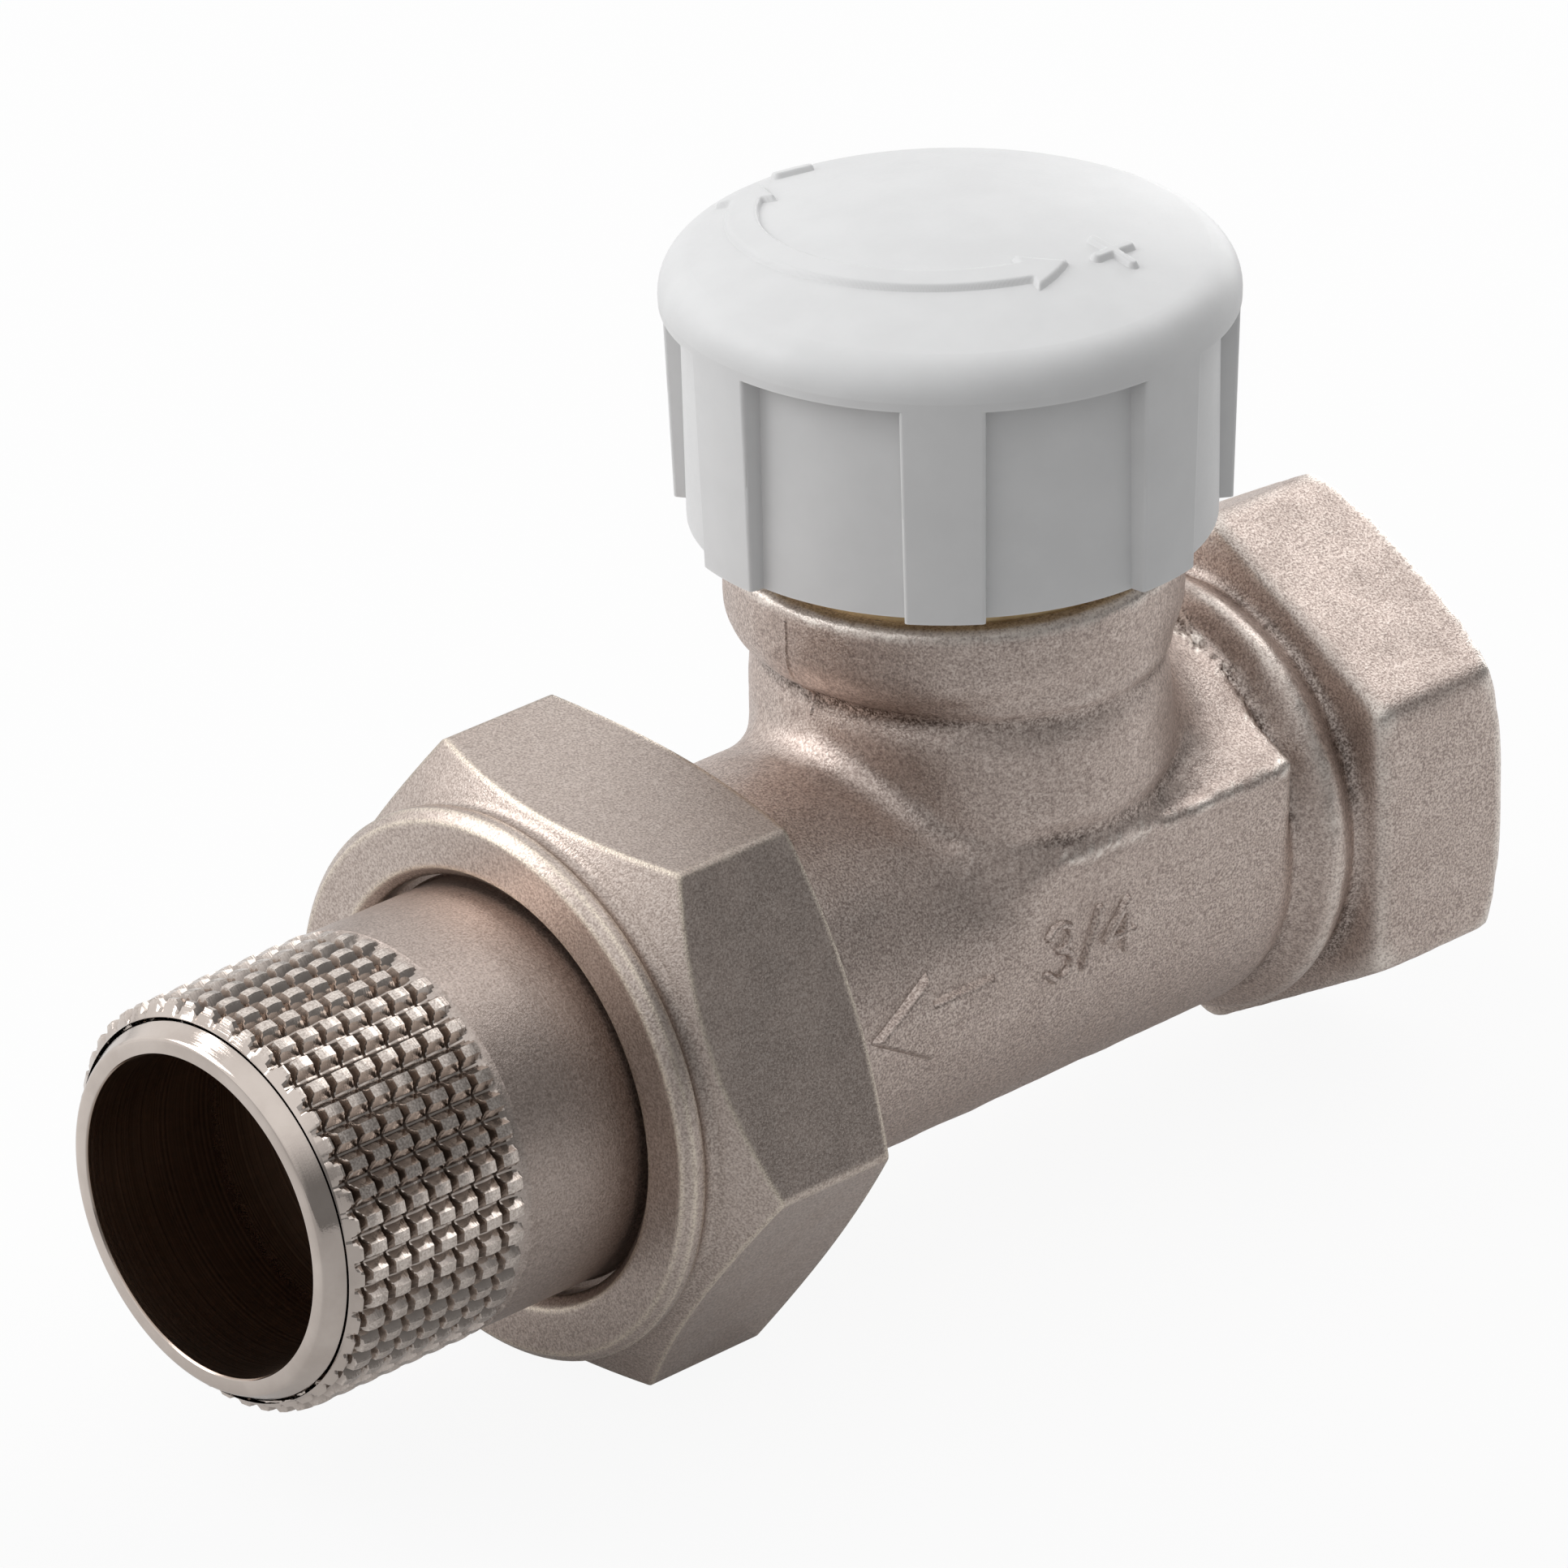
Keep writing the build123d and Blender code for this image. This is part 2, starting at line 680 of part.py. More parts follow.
# Spring cap: washer that passes the spring's push to the clip
with BuildPart() as spring_cap:
    turn_on_stem(ring(stem_r + fitted, spring_cap_r, spring_cap_bottom, clip_bottom))
finish(spring_cap.part, "spring_cap")

# Stem clip: sprung steel ring, open on one side, in the stem's groove
with BuildPart() as stem_clip:
    with BuildSketch(level(clip_bottom)):
        Circle(clip_r)
        Circle(clip_groove_r + fitted, mode=Mode.SUBTRACT)
        with Locations((clip_r / 2, 0)):
            Rectangle(clip_r, clip_opening, mode=Mode.SUBTRACT)
    extrude(amount=clip_thickness)
finish(stem_clip.part, "stem_clip")

# Disc holder: turned brass cup on the stem's shoulder
with BuildPart() as disc_holder:
    turn_on_stem(
        [
            (stem_end_r + fitted, disc_top),
            (disc_r + fitted, disc_top),
            (disc_r + fitted, disc_top - holder_rim_drop),
            (disc_r + holder_rim, disc_top - holder_rim_drop),
            (disc_r + holder_rim, holder_top),
            (stem_end_r + fitted, holder_top),
        ]
    )
finish(disc_holder.part, "disc_holder")

# Seat disc: rubber washer that closes on the seat's rim
with BuildPart() as seat_disc:
    turn_on_stem(ring(stem_end_r + fitted, disc_r, disc_bottom, disc_top))
finish(seat_disc.part, "seat_disc")

# Disc washer and disc nut, which clamp the disc in its holder
with BuildPart() as disc_washer:
    turn_on_stem(ring(stem_end_r + fitted, disc_washer_r, disc_washer_bottom, disc_bottom))
finish(disc_washer.part, "disc_washer")

with BuildPart() as disc_nut:
    with BuildSketch(level(disc_nut_bottom)):
        RegularPolygon(disc_nut_half, 6, major_radius=False)
        Circle(stem_end_r + fitted, mode=Mode.SUBTRACT)
    extrude(amount=disc_nut_thickness)
finish(disc_nut.part, "disc_nut")

# Actuating pin: hardened pin between the stem and the cap, through the gland's seals
with BuildPart() as actuating_pin:
    turn_on_stem(
        [
            (0, stem_top),
            (pin_r, stem_top),
            (pin_r, pin_top - pin_bevel),
            (pin_r - pin_bevel, pin_top),
            (0, pin_top),
        ]
    )
finish(actuating_pin.part, "actuating_pin")

# Hand cap: moulded cap with a dome on a drafted skirt, ribs between sunk panels and a boss on the pin
with BuildPart() as hand_cap:
    shoulder_x = rim_r - shoulder_r
    dome_r = (shoulder_x**2 + dome_rise**2 - shoulder_r**2) / (2 * (dome_rise - shoulder_r))
    dome_angle = degrees(atan2(shoulder_x, dome_r - dome_rise))
    with BuildSketch(stem_section):
        with BuildLine():
            Polyline((0, dome_top), (0, cap_bottom), (skirt_r, cap_bottom), (rim_r, rim_top))
            CenterArc((shoulder_x, rim_top), shoulder_r, 0, 90 - dome_angle)
            CenterArc((0, dome_top - dome_r), dome_r, 90 - dome_angle, dome_angle)
        make_face()
    revolve(axis=stem_axis)
    with BuildSketch(level(cap_bottom)):
        Circle(rim_r + panel_recess)
        Circle(skirt_r - panel_recess, mode=Mode.SUBTRACT)
        with PolarLocations(skirt_r, rib_count, start_angle=rib_angle):
            Rectangle(4 * panel_recess, rib_width, mode=Mode.SUBTRACT)
    extrude(amount=panel_top - cap_bottom, taper=panel_draft, mode=Mode.SUBTRACT)
    rib_edges = hand_cap.edges().filter_by(
        lambda edge: cap_bottom < edge.center().Z < panel_top - rib_edge_r
        and abs(edge.center() - Vector(stem_x, 0, edge.center().Z)) > skirt_r
    )
    fillet(rib_edges, rib_edge_r)
    turn_on_stem(
        [
            (0, cap_bottom),
            (cap_thread_r + running, cap_bottom),
            (cap_thread_r + running, cap_bore_top),
            (cap_hollow_r, cap_bore_top),
            (cap_hollow_r, cap_ceiling),
            (cap_boss_r, cap_ceiling),
            (cap_boss_r, pin_top),
            (0, pin_top),
        ],
        Mode.SUBTRACT,
    )
finish(hand_cap.part, "hand_cap")
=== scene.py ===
from math import cos, pi, radians, sin, sqrt

import bmesh
import bpy
import numpy as np
from mathutils import Matrix, Vector, noise
from mathutils.bvhtree import BVHTree


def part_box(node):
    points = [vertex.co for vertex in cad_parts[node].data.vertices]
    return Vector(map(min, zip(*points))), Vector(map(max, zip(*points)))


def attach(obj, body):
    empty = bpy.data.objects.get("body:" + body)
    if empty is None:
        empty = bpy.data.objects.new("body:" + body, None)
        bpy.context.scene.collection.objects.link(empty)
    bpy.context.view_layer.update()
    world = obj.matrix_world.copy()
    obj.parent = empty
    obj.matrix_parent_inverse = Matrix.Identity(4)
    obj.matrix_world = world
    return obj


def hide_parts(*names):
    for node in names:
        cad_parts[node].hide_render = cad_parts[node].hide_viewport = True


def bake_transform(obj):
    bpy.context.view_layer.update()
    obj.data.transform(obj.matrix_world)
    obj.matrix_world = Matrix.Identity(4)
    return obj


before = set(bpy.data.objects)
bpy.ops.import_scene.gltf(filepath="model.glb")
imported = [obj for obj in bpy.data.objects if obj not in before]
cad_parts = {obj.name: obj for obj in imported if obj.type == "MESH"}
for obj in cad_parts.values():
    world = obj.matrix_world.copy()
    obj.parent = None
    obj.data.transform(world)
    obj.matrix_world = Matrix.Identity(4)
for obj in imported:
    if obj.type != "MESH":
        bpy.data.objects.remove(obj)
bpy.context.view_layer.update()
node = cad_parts

# Valve body: brass forged hot between two dies, machined inside, then sandblasted and plated with matt
# nickel. The blasting leaves fine sparkling grain, coarser round the neck, and bright edges where it is
# rubbed.
# Its grooves and hollows are darkened in colour with specks: painted shade.
mm = 0.001
stem_x = -33.8 * mm  # the stem's axis, from the socket's end face


def wire(tree, kind, values=(), links=(), **settings):
    """Adds a node to a shader tree: its settings, then plain values and links for its sockets."""
    made = tree.nodes.new("ShaderNode" + kind)
    for label, value in settings.items():
        setattr(made, label, value)
    for socket, value in dict(values).items():
        made.inputs[socket].default_value = value
    for socket, source in dict(links).items():
        tree.links.new(source, made.inputs[socket])
    return made


def sums(tree, operation, first, second):
    """A Math node's result, for sockets or plain numbers."""
    made = tree.nodes.new("ShaderNodeMath")
    made.operation = operation
    for place, source in enumerate((first, second)):
        if isinstance(source, (int, float)):
            made.inputs[place].default_value = source
        else:
            tree.links.new(source, made.inputs[place])
    return made.outputs[0]


def between(tree, source, low, high, out_low=0.0, out_high=1.0):
    """A value eased from one range to another."""
    made = wire(
        tree,
        "MapRange",
        {"From Min": low, "From Max": high, "To Min": out_low, "To Max": out_high},
        {"Value": source},
        interpolation_type="SMOOTHSTEP",
    )
    return made.outputs[0]


def over(tree, mask, under, top):
    """One colour laid over another where the mask is 1. Either may be a socket."""
    made = wire(tree, "Mix", links={0: mask}, data_type="RGBA")
    for place, colour in ((6, under), (7, top)):
        if isinstance(colour, tuple):
            made.inputs[place].default_value = (*colour, 1)
        else:
            tree.links.new(colour, made.inputs[place])
    return made.outputs[2]


def noise_over(tree, place, scale, detail, roughness):
    """Noise over the surface, at a scale that comes from a socket."""
    values = {"Detail": detail, "Roughness": roughness}
    return wire(tree, "TexNoise", values, {"Vector": place, "Scale": scale}).outputs[0]


def effect(name, inputs, outputs):
    """An empty shader node group with its named sockets."""
    tree = bpy.data.node_groups.new(name, "ShaderNodeTree")
    for label, value in inputs.items():
        socket = tree.interface.new_socket(label, in_out="INPUT", socket_type="NodeSocketFloat")
        socket.default_value = value
    for label in outputs:
        tree.interface.new_socket(label, in_out="OUTPUT", socket_type="NodeSocketFloat")
    return tree, tree.nodes.new("NodeGroupInput").outputs, tree.nodes.new("NodeGroupOutput").inputs


def use(tree, group, **values):
    """Places an effect in a material, with its own values."""
    made = tree.nodes.new("ShaderNodeGroup")
    made.node_tree = group
    for label, value in values.items():
        made.inputs[label.replace("_", " ")].default_value = value
    return made.outputs


def finish_of(name):
    """A new material's tree, with its shader."""
    made = bpy.data.materials.new(name)
    made.use_nodes = True
    return made, made.node_tree, made.node_tree.nodes["Principled BSDF"]


def bumped(tree, shader, height, depth, strength=1.0):
    """Gives a finish its fine relief."""
    made = wire(tree, "Bump", {"Strength": strength, "Distance": depth}, {"Height": height})
    tree.links.new(made.outputs[0], shader.inputs["Normal"])
    return made


def layers(tree, labels):
    """A mesh's own layers, read in its material."""
    return [wire(tree, "Attribute", attribute_name=label).outputs["Fac"] for label in labels]


def add_layers(mesh, amounts):
    """Gives each point of a mesh its own values, which its material reads."""
    for label, values in amounts.items():
        mesh.attributes.new(label, "FLOAT", "POINT").data.foreach_set("value", values)


def placed(name, data):
    """A new object in the scene."""
    made = bpy.data.objects.new(name, data)
    bpy.context.scene.collection.objects.link(made)
    return made


blasted_skin, given, made = effect(
    "blasted skin", {"Grains": 4000, "Coarse": 0.3}, ["Height", "Speckle", "Cloud"]
)
dent_share, cloud_share = 0.42, 0.045  # of the grains' scale
place = wire(blasted_skin, "TexCoord").outputs["Object"]
dent_scale = sums(blasted_skin, "MULTIPLY", given["Grains"], dent_share)
cloud_scale = sums(blasted_skin, "MULTIPLY", given["Grains"], cloud_share)
fine = noise_over(blasted_skin, place, given["Grains"], 2, 0.6)
dents = noise_over(blasted_skin, place, dent_scale, 3, 0.7)
cloud = noise_over(blasted_skin, place, cloud_scale, 4, 0.55)
patches = between(blasted_skin, cloud, 0.3, 0.7, 0.5, 1.0)
rough_share = sums(blasted_skin, "MULTIPLY", given["Coarse"], patches)
grain = wire(blasted_skin, "Mix", links={0: rough_share, 2: fine, 3: dents}, data_type="FLOAT").outputs[0]
blasted_skin.links.new(grain, made["Height"])
blasted_skin.links.new(between(blasted_skin, grain, 0.3, 0.7), made["Speckle"])
blasted_skin.links.new(between(blasted_skin, cloud, 0.3, 0.7), made["Cloud"])

# Masks for convex edges and for hollows. The hollow mask comes from ambient occlusion, so colour darkened by
# it is painted shade.
edges_and_hollows, given, made = effect(
    "edges and hollows", {"Width": 0.5 * mm, "Gain": 9, "Reach": 1.2 * mm}, ["Edge", "Hollow"]
)
edges_and_hollows.interface.new_socket("Rounded", in_out="OUTPUT", socket_type="NodeSocketVector")
rounded = wire(edges_and_hollows, "Bevel", links={"Radius": given["Width"]}, samples=5).outputs[0]
edges_and_hollows.links.new(rounded, made["Rounded"])
facing = wire(edges_and_hollows, "NewGeometry").outputs["Normal"]
same_way = wire(edges_and_hollows, "VectorMath", links={0: rounded, 1: facing}, operation="DOT_PRODUCT")
turned_away = sums(edges_and_hollows, "SUBTRACT", 1.0, same_way.outputs["Value"])
turned = sums(edges_and_hollows, "MULTIPLY", turned_away, given["Gain"])
sky = wire(edges_and_hollows, "AmbientOcclusion", links={"Distance": given["Reach"]}, samples=6, only_local=True)
open_air = sky.outputs["AO"]
proud = sums(edges_and_hollows, "MULTIPLY", turned, between(edges_and_hollows, open_air, 0.8, 0.97))
edges_and_hollows.links.new(between(edges_and_hollows, proud, 0.05, 1.0), made["Edge"])
edges_and_hollows.links.new(between(edges_and_hollows, open_air, 0.95, 0.35), made["Hollow"])

# The colour of the painted shade laid into grooves and hollows.
painted_groove_shade = (0.085, 0.062, 0.05)


def nickel(name, grains, coarse, tones, rubbed, roughness, grain_depth, edge_hollow_masks=None):
    """Blasted and plated brass: dark, middle and light tone, and the colour of its edges where they are
    rubbed.

    The last argument names the mesh's own layers for worn edges, for hollows and for coarse grain. Without
    them the edges and hollows are found by the shader. The hollows' colour is darkened: painted shade."""
    material, tree, shader = finish_of(name)
    skin = use(tree, blasted_skin, Grains=grains, Coarse=coarse)
    if edge_hollow_masks:
        edge, hollow, rough = layers(tree, edge_hollow_masks)
        tree.links.new(rough, skin["Height"].node.inputs["Coarse"])
    else:
        found = use(tree, edges_and_hollows, Width=0.6 * mm, Gain=24, Reach=1.3 * mm)
        edge, hollow = found["Edge"], found["Hollow"]
    grain_tone = wire(tree, "ValToRGB", links={0: skin["Speckle"]})
    stops = grain_tone.color_ramp.elements
    stops[0].position, stops[0].color = 0.05, (*tones[0], 1)
    stops[1].position, stops[1].color = 0.95, (*tones[2], 1)
    stops.new(0.5).color = (*tones[1], 1)
    # Painted shade: the hollows are darkened in colour, broken into specks by the grain.
    hollow_shade = sums(tree, "MULTIPLY", hollow, between(tree, skin["Speckle"], 0.85, 0.15, 0.3, 1.0))
    hollow_shaded = over(tree, hollow_shade, grain_tone.outputs[0], painted_groove_shade)
    rub = sums(tree, "MULTIPLY", edge, between(tree, skin["Speckle"], 0.1, 0.7, 0.4, 1.0))
    tree.links.new(over(tree, rub, hollow_shaded, rubbed), shader.inputs["Base Color"])
    matt = between(tree, skin["Cloud"], 0.0, 1.0, roughness - 0.04, roughness + 0.05)
    polish = sums(tree, "MULTIPLY", edge, 0.1)
    tree.links.new(sums(tree, "SUBTRACT", matt, polish), shader.inputs["Roughness"])
    bumps = bumped(tree, shader, skin["Height"], grain_depth)
    if not edge_hollow_masks:
        tree.links.new(found["Rounded"], bumps.inputs["Normal"])
    shader.inputs["Metallic"].default_value = 1.0
    return material


forged_nickel = nickel(
    "forged nickel",
    grains=6800,
    coarse=0.3,
    tones=((0.36, 0.29, 0.26), (0.585, 0.485, 0.435), (0.79, 0.69, 0.63)),
    rubbed=(0.94, 0.87, 0.80),
    roughness=0.44,
    grain_depth=0.044 * mm,
    edge_hollow_masks=("rubbed", "hollow", "coarse"),
)

# The forging itself has soft, slightly uneven forms, so the body is a dense copy of the solid, eased where
# the dies were rounded: over the whole outside a little, and more round the neck's saddle and at the ends of
# the side pads.
voxel = 0.45 * mm
dense = placed("dense_body", node["valve_body"].data.copy())
remesh = dense.modifiers.new("even", "REMESH")
remesh.mode = "VOXEL"
remesh.voxel_size = voxel
body_mesh = bpy.data.meshes.new_from_object(dense.evaluated_get(bpy.context.evaluated_depsgraph_get()))
bpy.data.objects.remove(dense)


def mesh_points(mesh):
    """A mesh's points, one in a row."""
    flat = np.empty(len(mesh.vertices) * 3)
    mesh.vertices.foreach_get("co", flat)
    return flat.reshape(-1, 3)


def eased(points, edges, share, rounds):
    """Points moved towards the mean of their neighbours, each by its own share."""
    ends = np.concatenate([edges[:, 0], edges[:, 1]])
    others = np.concatenate([edges[:, 1], edges[:, 0]])
    count = np.bincount(ends, minlength=len(points))[:, None]
    for _ in range(rounds):
        sides = [np.bincount(ends, points[others, k], len(points)) for k in range(points.shape[1])]
        points = points + share[:, None] * (np.stack(sides, 1) / count - points)
    return points


def ramp(value, low, high):
    """A mask that rises softly from 0 at low to 1 at high."""
    share = np.clip((value - low) / (high - low), 0, 1)
    return share * share * (3 - 2 * share)


def unevenness(points, scale):
    """Smooth noise at each point."""
    return np.array([noise.noise(Vector(point) * scale) for point in points.tolist()])


nut_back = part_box("union_nut")[1].x - stem_x
union_crest, union_root, union_end = 15.85 * mm, 15.0 * mm, -35.9 * mm
socket_r, socket_root, socket_floor, socket_mouth = 12.06 * mm, 13.0 * mm, 18.9 * mm, 33.8 * mm
barrel_r = 13.46 * mm
neck_along, neck_across = 12.6 * mm, 13.3 * mm  # the oval neck's half widths
pad_y, ridge_z, pad_slope = 14 * mm, 7.4 * mm, 0.53  # the side pads' upper ridges, and the slope over them
cove_top, cove_least, cove_most = 16.6 * mm, 0.3 * mm, 6.5 * mm  # the hollow between neck and pads
crease_z, crease_below, crease_above = 17.5 * mm, 1.3 * mm, 0.4 * mm  # under the neck's collar
hollow_z, hollow_half = 9.0 * mm, 1.0 * mm  # over the pads' ridges
ridge_half = 0.6 * mm
crease_depth, hollow_depth, ridge_height = 0.5 * mm, 0.55 * mm, 0.15 * mm
wave_depth, ragged_depth = 0.055 * mm, 0.2 * mm
pipe_wall, neck_wall, chamber_z = 12.7 * mm, 11.7 * mm, 5 * mm  # the machined inside lies within them
socket_wall, socket_from = 13.3 * mm, 21 * mm

points = mesh_points(body_mesh)
pairs = np.empty(len(body_mesh.edges) * 2, int)
body_mesh.edges.foreach_get("vertices", pairs)
pairs = pairs.reshape(-1, 2)
along, side, height = points[:, 0] - stem_x, points[:, 1], points[:, 2]
from_pipe = np.hypot(side, height)
from_stem = np.hypot(along, side)
outside = (from_pipe > pipe_wall) & ~((from_stem < neck_wall) & (height > chamber_z))
outside &= ~((from_pipe < socket_wall) & (along > socket_from))
forged = outside * ramp(along, -24.5 * mm, -22.5 * mm) * ramp(height, 23.6 * mm, 22.6 * mm)
forged *= ramp(along, 33.2 * mm, 31.5 * mm)
from_ridge = np.hypot(abs(side) - pad_y, height - ridge_z)
on_flanks = abs(side) > 9 * mm
pad_side = on_flanks * ramp(along, -6 * mm, -3 * mm) * ramp(along, 17 * mm, 16 * mm)
pad_end = on_flanks * ramp(abs(along + 7 * mm), 5 * mm, 2 * mm)
pad_end = pad_end * ramp(abs(height - 3.6 * mm), 6.4 * mm, 4 * mm)
in_saddle = ramp(along, -4 * mm, 3 * mm) * ramp(along, 16 * mm, 14.4 * mm)
in_saddle *= ramp(height, 16.9 * mm, 15.4 * mm) * ramp(height, 6.8 * mm, 8 * mm)
in_saddle *= ramp(from_ridge, 0.6 * mm, 2.0 * mm)
points = eased(points, pairs, 0.5 * forged, 3)
points = eased(points, pairs, 0.5 * forged * pad_end, 70)

neck_turn = np.arctan2(side, along)
neck_r = 1 / np.hypot(np.cos(neck_turn) / neck_along, np.sin(neck_turn) / neck_across)
across = np.maximum(abs(np.sin(neck_turn)), 0.05)
cove_width = np.clip(pad_y / across - neck_r, cove_least, cove_most)  # from the neck's wall to the ridge
cove_foot = (neck_r + cove_width) * across
cove_floor = np.sqrt(np.clip(barrel_r**2 - cove_foot**2, 0, None))
cove_floor = np.maximum(cove_floor, ridge_z + pad_slope * (pad_y - cove_foot))
cove_rise = cove_top - cove_floor
to_wall = 1 - (from_stem - neck_r) / cove_width
to_floor = (cove_top - height) / cove_rise
to_both = np.hypot(to_wall, to_floor)
in_cove = (to_wall > 0) & (to_floor > 0) & (height > cove_floor - 0.3 * mm) & (to_both > 1)
in_cove &= outside & (from_stem > neck_r - 1.2 * mm)
pull = in_cove * ramp(along, -3 * mm, 3 * mm) * ramp(from_ridge, 0.3 * mm, 1.2 * mm) * (1 - 1 / to_both)
push_out = pull * to_wall * cove_width
push_up = pull * to_floor * cove_rise
points = points + np.stack([np.cos(neck_turn) * push_out, np.sin(neck_turn) * push_out, push_up], 1)
points = eased(points, pairs, 0.5 * forged * in_saddle, 40)
body_mesh.vertices.foreach_set("co", points.ravel())

facing = np.empty(len(points) * 3)
body_mesh.vertex_normals.foreach_get("vector", facing)
facing = facing.reshape(-1, 3)
waves = unevenness(points, 420) + 0.5 * unevenness(points, 1100)
ragged = unevenness(points, 1500)
crease_run = np.where(height < crease_z, crease_below, crease_above)
crease = np.exp(-(((height - crease_z) / crease_run) ** 2)) * (from_stem < 16 * mm)
behind = np.exp(-(((height - hollow_z) / hollow_half) ** 2)) * on_flanks
behind = behind * ramp(along, -8 * mm, -4 * mm) * ramp(along, 11 * mm, 7 * mm)
ridge = pad_side * np.exp(-((from_ridge / ridge_half) ** 2))
uneven = waves * wave_depth + ragged * ragged_depth * pad_side * ramp(from_ridge, 1.5 * mm, 0.4 * mm)
cut_in = crease * crease_depth + behind * hollow_depth - ridge * ridge_height
points = points + facing * (forged * (uneven - cut_in))[:, None]
stub = (along < nut_back + 1.0 * mm) & (from_pipe > union_root)
socket = (along > socket_floor) & (abs(from_pipe - socket_r) < 0.2 * mm)
points[stub, 1:] *= (union_root / from_pipe[stub])[:, None]
points[socket, 1:] *= (socket_root / from_pipe[socket])[:, None]
body_mesh.vertices.foreach_set("co", points.ravel())

every = np.ones(len(points))
bend = ((points - eased(points, pairs, every, 1)) * facing).sum(1) / voxel
bend = eased(bend[:, None], pairs, every, 2)[:, 0]
rough_zone = ramp(from_stem, 20 * mm, 14 * mm) * ramp(height, 1 * mm, 6 * mm)
rough_zone = np.maximum(rough_zone, ramp(abs(along - 19 * mm), 5 * mm, 2 * mm))
# The hollow layer marks concave places, whose colour is darkened as painted shade; the rubbed layer marks
# convex edges, worn bright.
body_layers = {
    "rubbed": outside * ramp(bend, 0.03, 0.1),
    "hollow": outside * ramp(-bend, 0.02, 0.1),
    "coarse": 0.15 + 0.4 * rough_zone,
}
add_layers(body_mesh, body_layers)
body_mesh.shade_smooth()
body_mesh.materials.clear()
body_mesh.materials.append(forged_nickel)
forged_body = placed("forged_body", body_mesh)
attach(forged_body, "root")
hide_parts("valve_body")


def screw_thread(name, start, stop, root, crest, pitch, columns=160):
    """A V thread as a sleeve. Its crest is outside its root on a male thread, and inside it on a female
    one."""
    flat, flank = 0.16, 0.68  # shares of half a pitch
    lead_in = 0.9 * mm
    places = np.array([0.0, 0.08, 0.42, 0.5, 0.58, 0.92])
    turns = int(np.ceil((stop - start) / pitch)) + 1
    round_share = np.arange(columns + 1) / columns
    rows = (np.repeat(np.arange(-1, turns), len(places)) + np.tile(places, turns + 1))[:, None]
    x = np.clip(start + (rows + round_share) * pitch, start, stop)
    phase = np.mod((x - start) / pitch - round_share, 1.0)
    lift = np.clip((abs(phase - 0.5) * 2 - flat) / flank, 0, 1)
    lift = np.minimum(lift, np.minimum(x - start, stop - x) / lead_in)
    r = root + (crest - root) * lift
    around = round_share * 2 * pi
    spots = np.stack([x + stem_x, -r * np.cos(around), r * np.sin(around)], -1).reshape(-1, 3)
    number = np.arange(x.size).reshape(x.shape)
    corners = [number[:-1, :-1], number[1:, :-1], number[1:, 1:], number[:-1, 1:]]
    quads = np.stack(corners, -1).reshape(-1, 4)
    real = np.ptp(x.ravel()[quads], axis=1) > 0.001 * mm
    mesh = bpy.data.meshes.new(name)
    mesh.from_pydata(spots.tolist(), [], quads[real].tolist())
    mesh.validate()
    mesh.shade_smooth()
    mesh.set_sharp_from_angle(angle=radians(30))
    piece = placed(name, mesh)
    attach(piece, "root")
    return piece


cut_nickel = nickel(
    "cut nickel",
    grains=5600,
    coarse=0.2,
    tones=((0.48, 0.41, 0.37), (0.58, 0.50, 0.455), (0.66, 0.58, 0.535)),
    rubbed=(0.92, 0.84, 0.74),
    roughness=0.22,
    grain_depth=0.008 * mm,
)
union_pitch, socket_pitch = 2.309 * mm, 1.814 * mm
body_threads = [
    screw_thread(
        "union_thread", union_end + 0.6 * mm, nut_back - 0.3 * mm, union_root, union_crest, union_pitch
    ),
    screw_thread(
        "socket_thread", socket_floor + 0.3 * mm, socket_mouth - 0.4 * mm, socket_root, socket_r, socket_pitch
    ),
]
for thread in body_threads:
    thread.data.materials.append(cut_nickel)

# Marks of the forging die on the body: the flow arrow on the barrel, the size number on the side pad,
# and the thin flash line that the dies' parting leaves down the neck. They stand proud with soft edges.
body_surface = BVHTree.FromPolygons(points.tolist(), [list(face.vertices) for face in body_mesh.polygons])


def raised_mark(name, low, high, step, distance, lay, height, draft, material):
    """A mark that stands out of a surface.

    distance gives how far a point of the mark's sheet is outside its outline, and lay puts a point of the
    sheet, with its height, on the surface."""
    across = np.arange(low[0], high[0] + step, step)
    along = np.arange(low[1], high[1] + step, step)
    u, v = np.meshgrid(across, along, indexing="ij")
    out = distance(u, v)
    rise = np.clip(0.5 - out / draft, 0, 1)
    rise = rise * rise * (3 - 2 * rise)
    sunk = 0.08 * mm  # the sheet's rim is under the surface
    laid = lay(u, v, rise * (height + sunk) - sunk)
    inside = out < draft / 2 + step
    keep = inside[:-1, :-1] | inside[1:, :-1] | inside[:-1, 1:] | inside[1:, 1:]
    number = np.arange(u.size).reshape(u.shape)
    i, j = np.nonzero(keep)
    faces = np.stack([number[i, j], number[i + 1, j], number[i + 1, j + 1], number[i, j + 1]], 1)
    used, faces = np.unique(faces, return_inverse=True)
    mesh = bpy.data.meshes.new(name)
    mesh.from_pydata(laid.reshape(-1, 3)[used].tolist(), [], faces.reshape(-1, 4).tolist())
    mesh.shade_smooth()
    mesh.materials.append(material)
    return placed(name, mesh)


def stroke(u, v, line, width):
    """How far a point is outside a stroke drawn along a line of points."""
    nearest = np.full(u.shape, np.inf)
    for (u0, v0), (u1, v1) in zip(line, line[1:]):
        du, dv = u1 - u0, v1 - v0
        share = np.clip(((u - u0) * du + (v - v0) * dv) / (du * du + dv * dv), 0, 1)
        nearest = np.minimum(nearest, np.hypot(u - u0 - share * du, v - v0 - share * dv))
    return nearest - width / 2


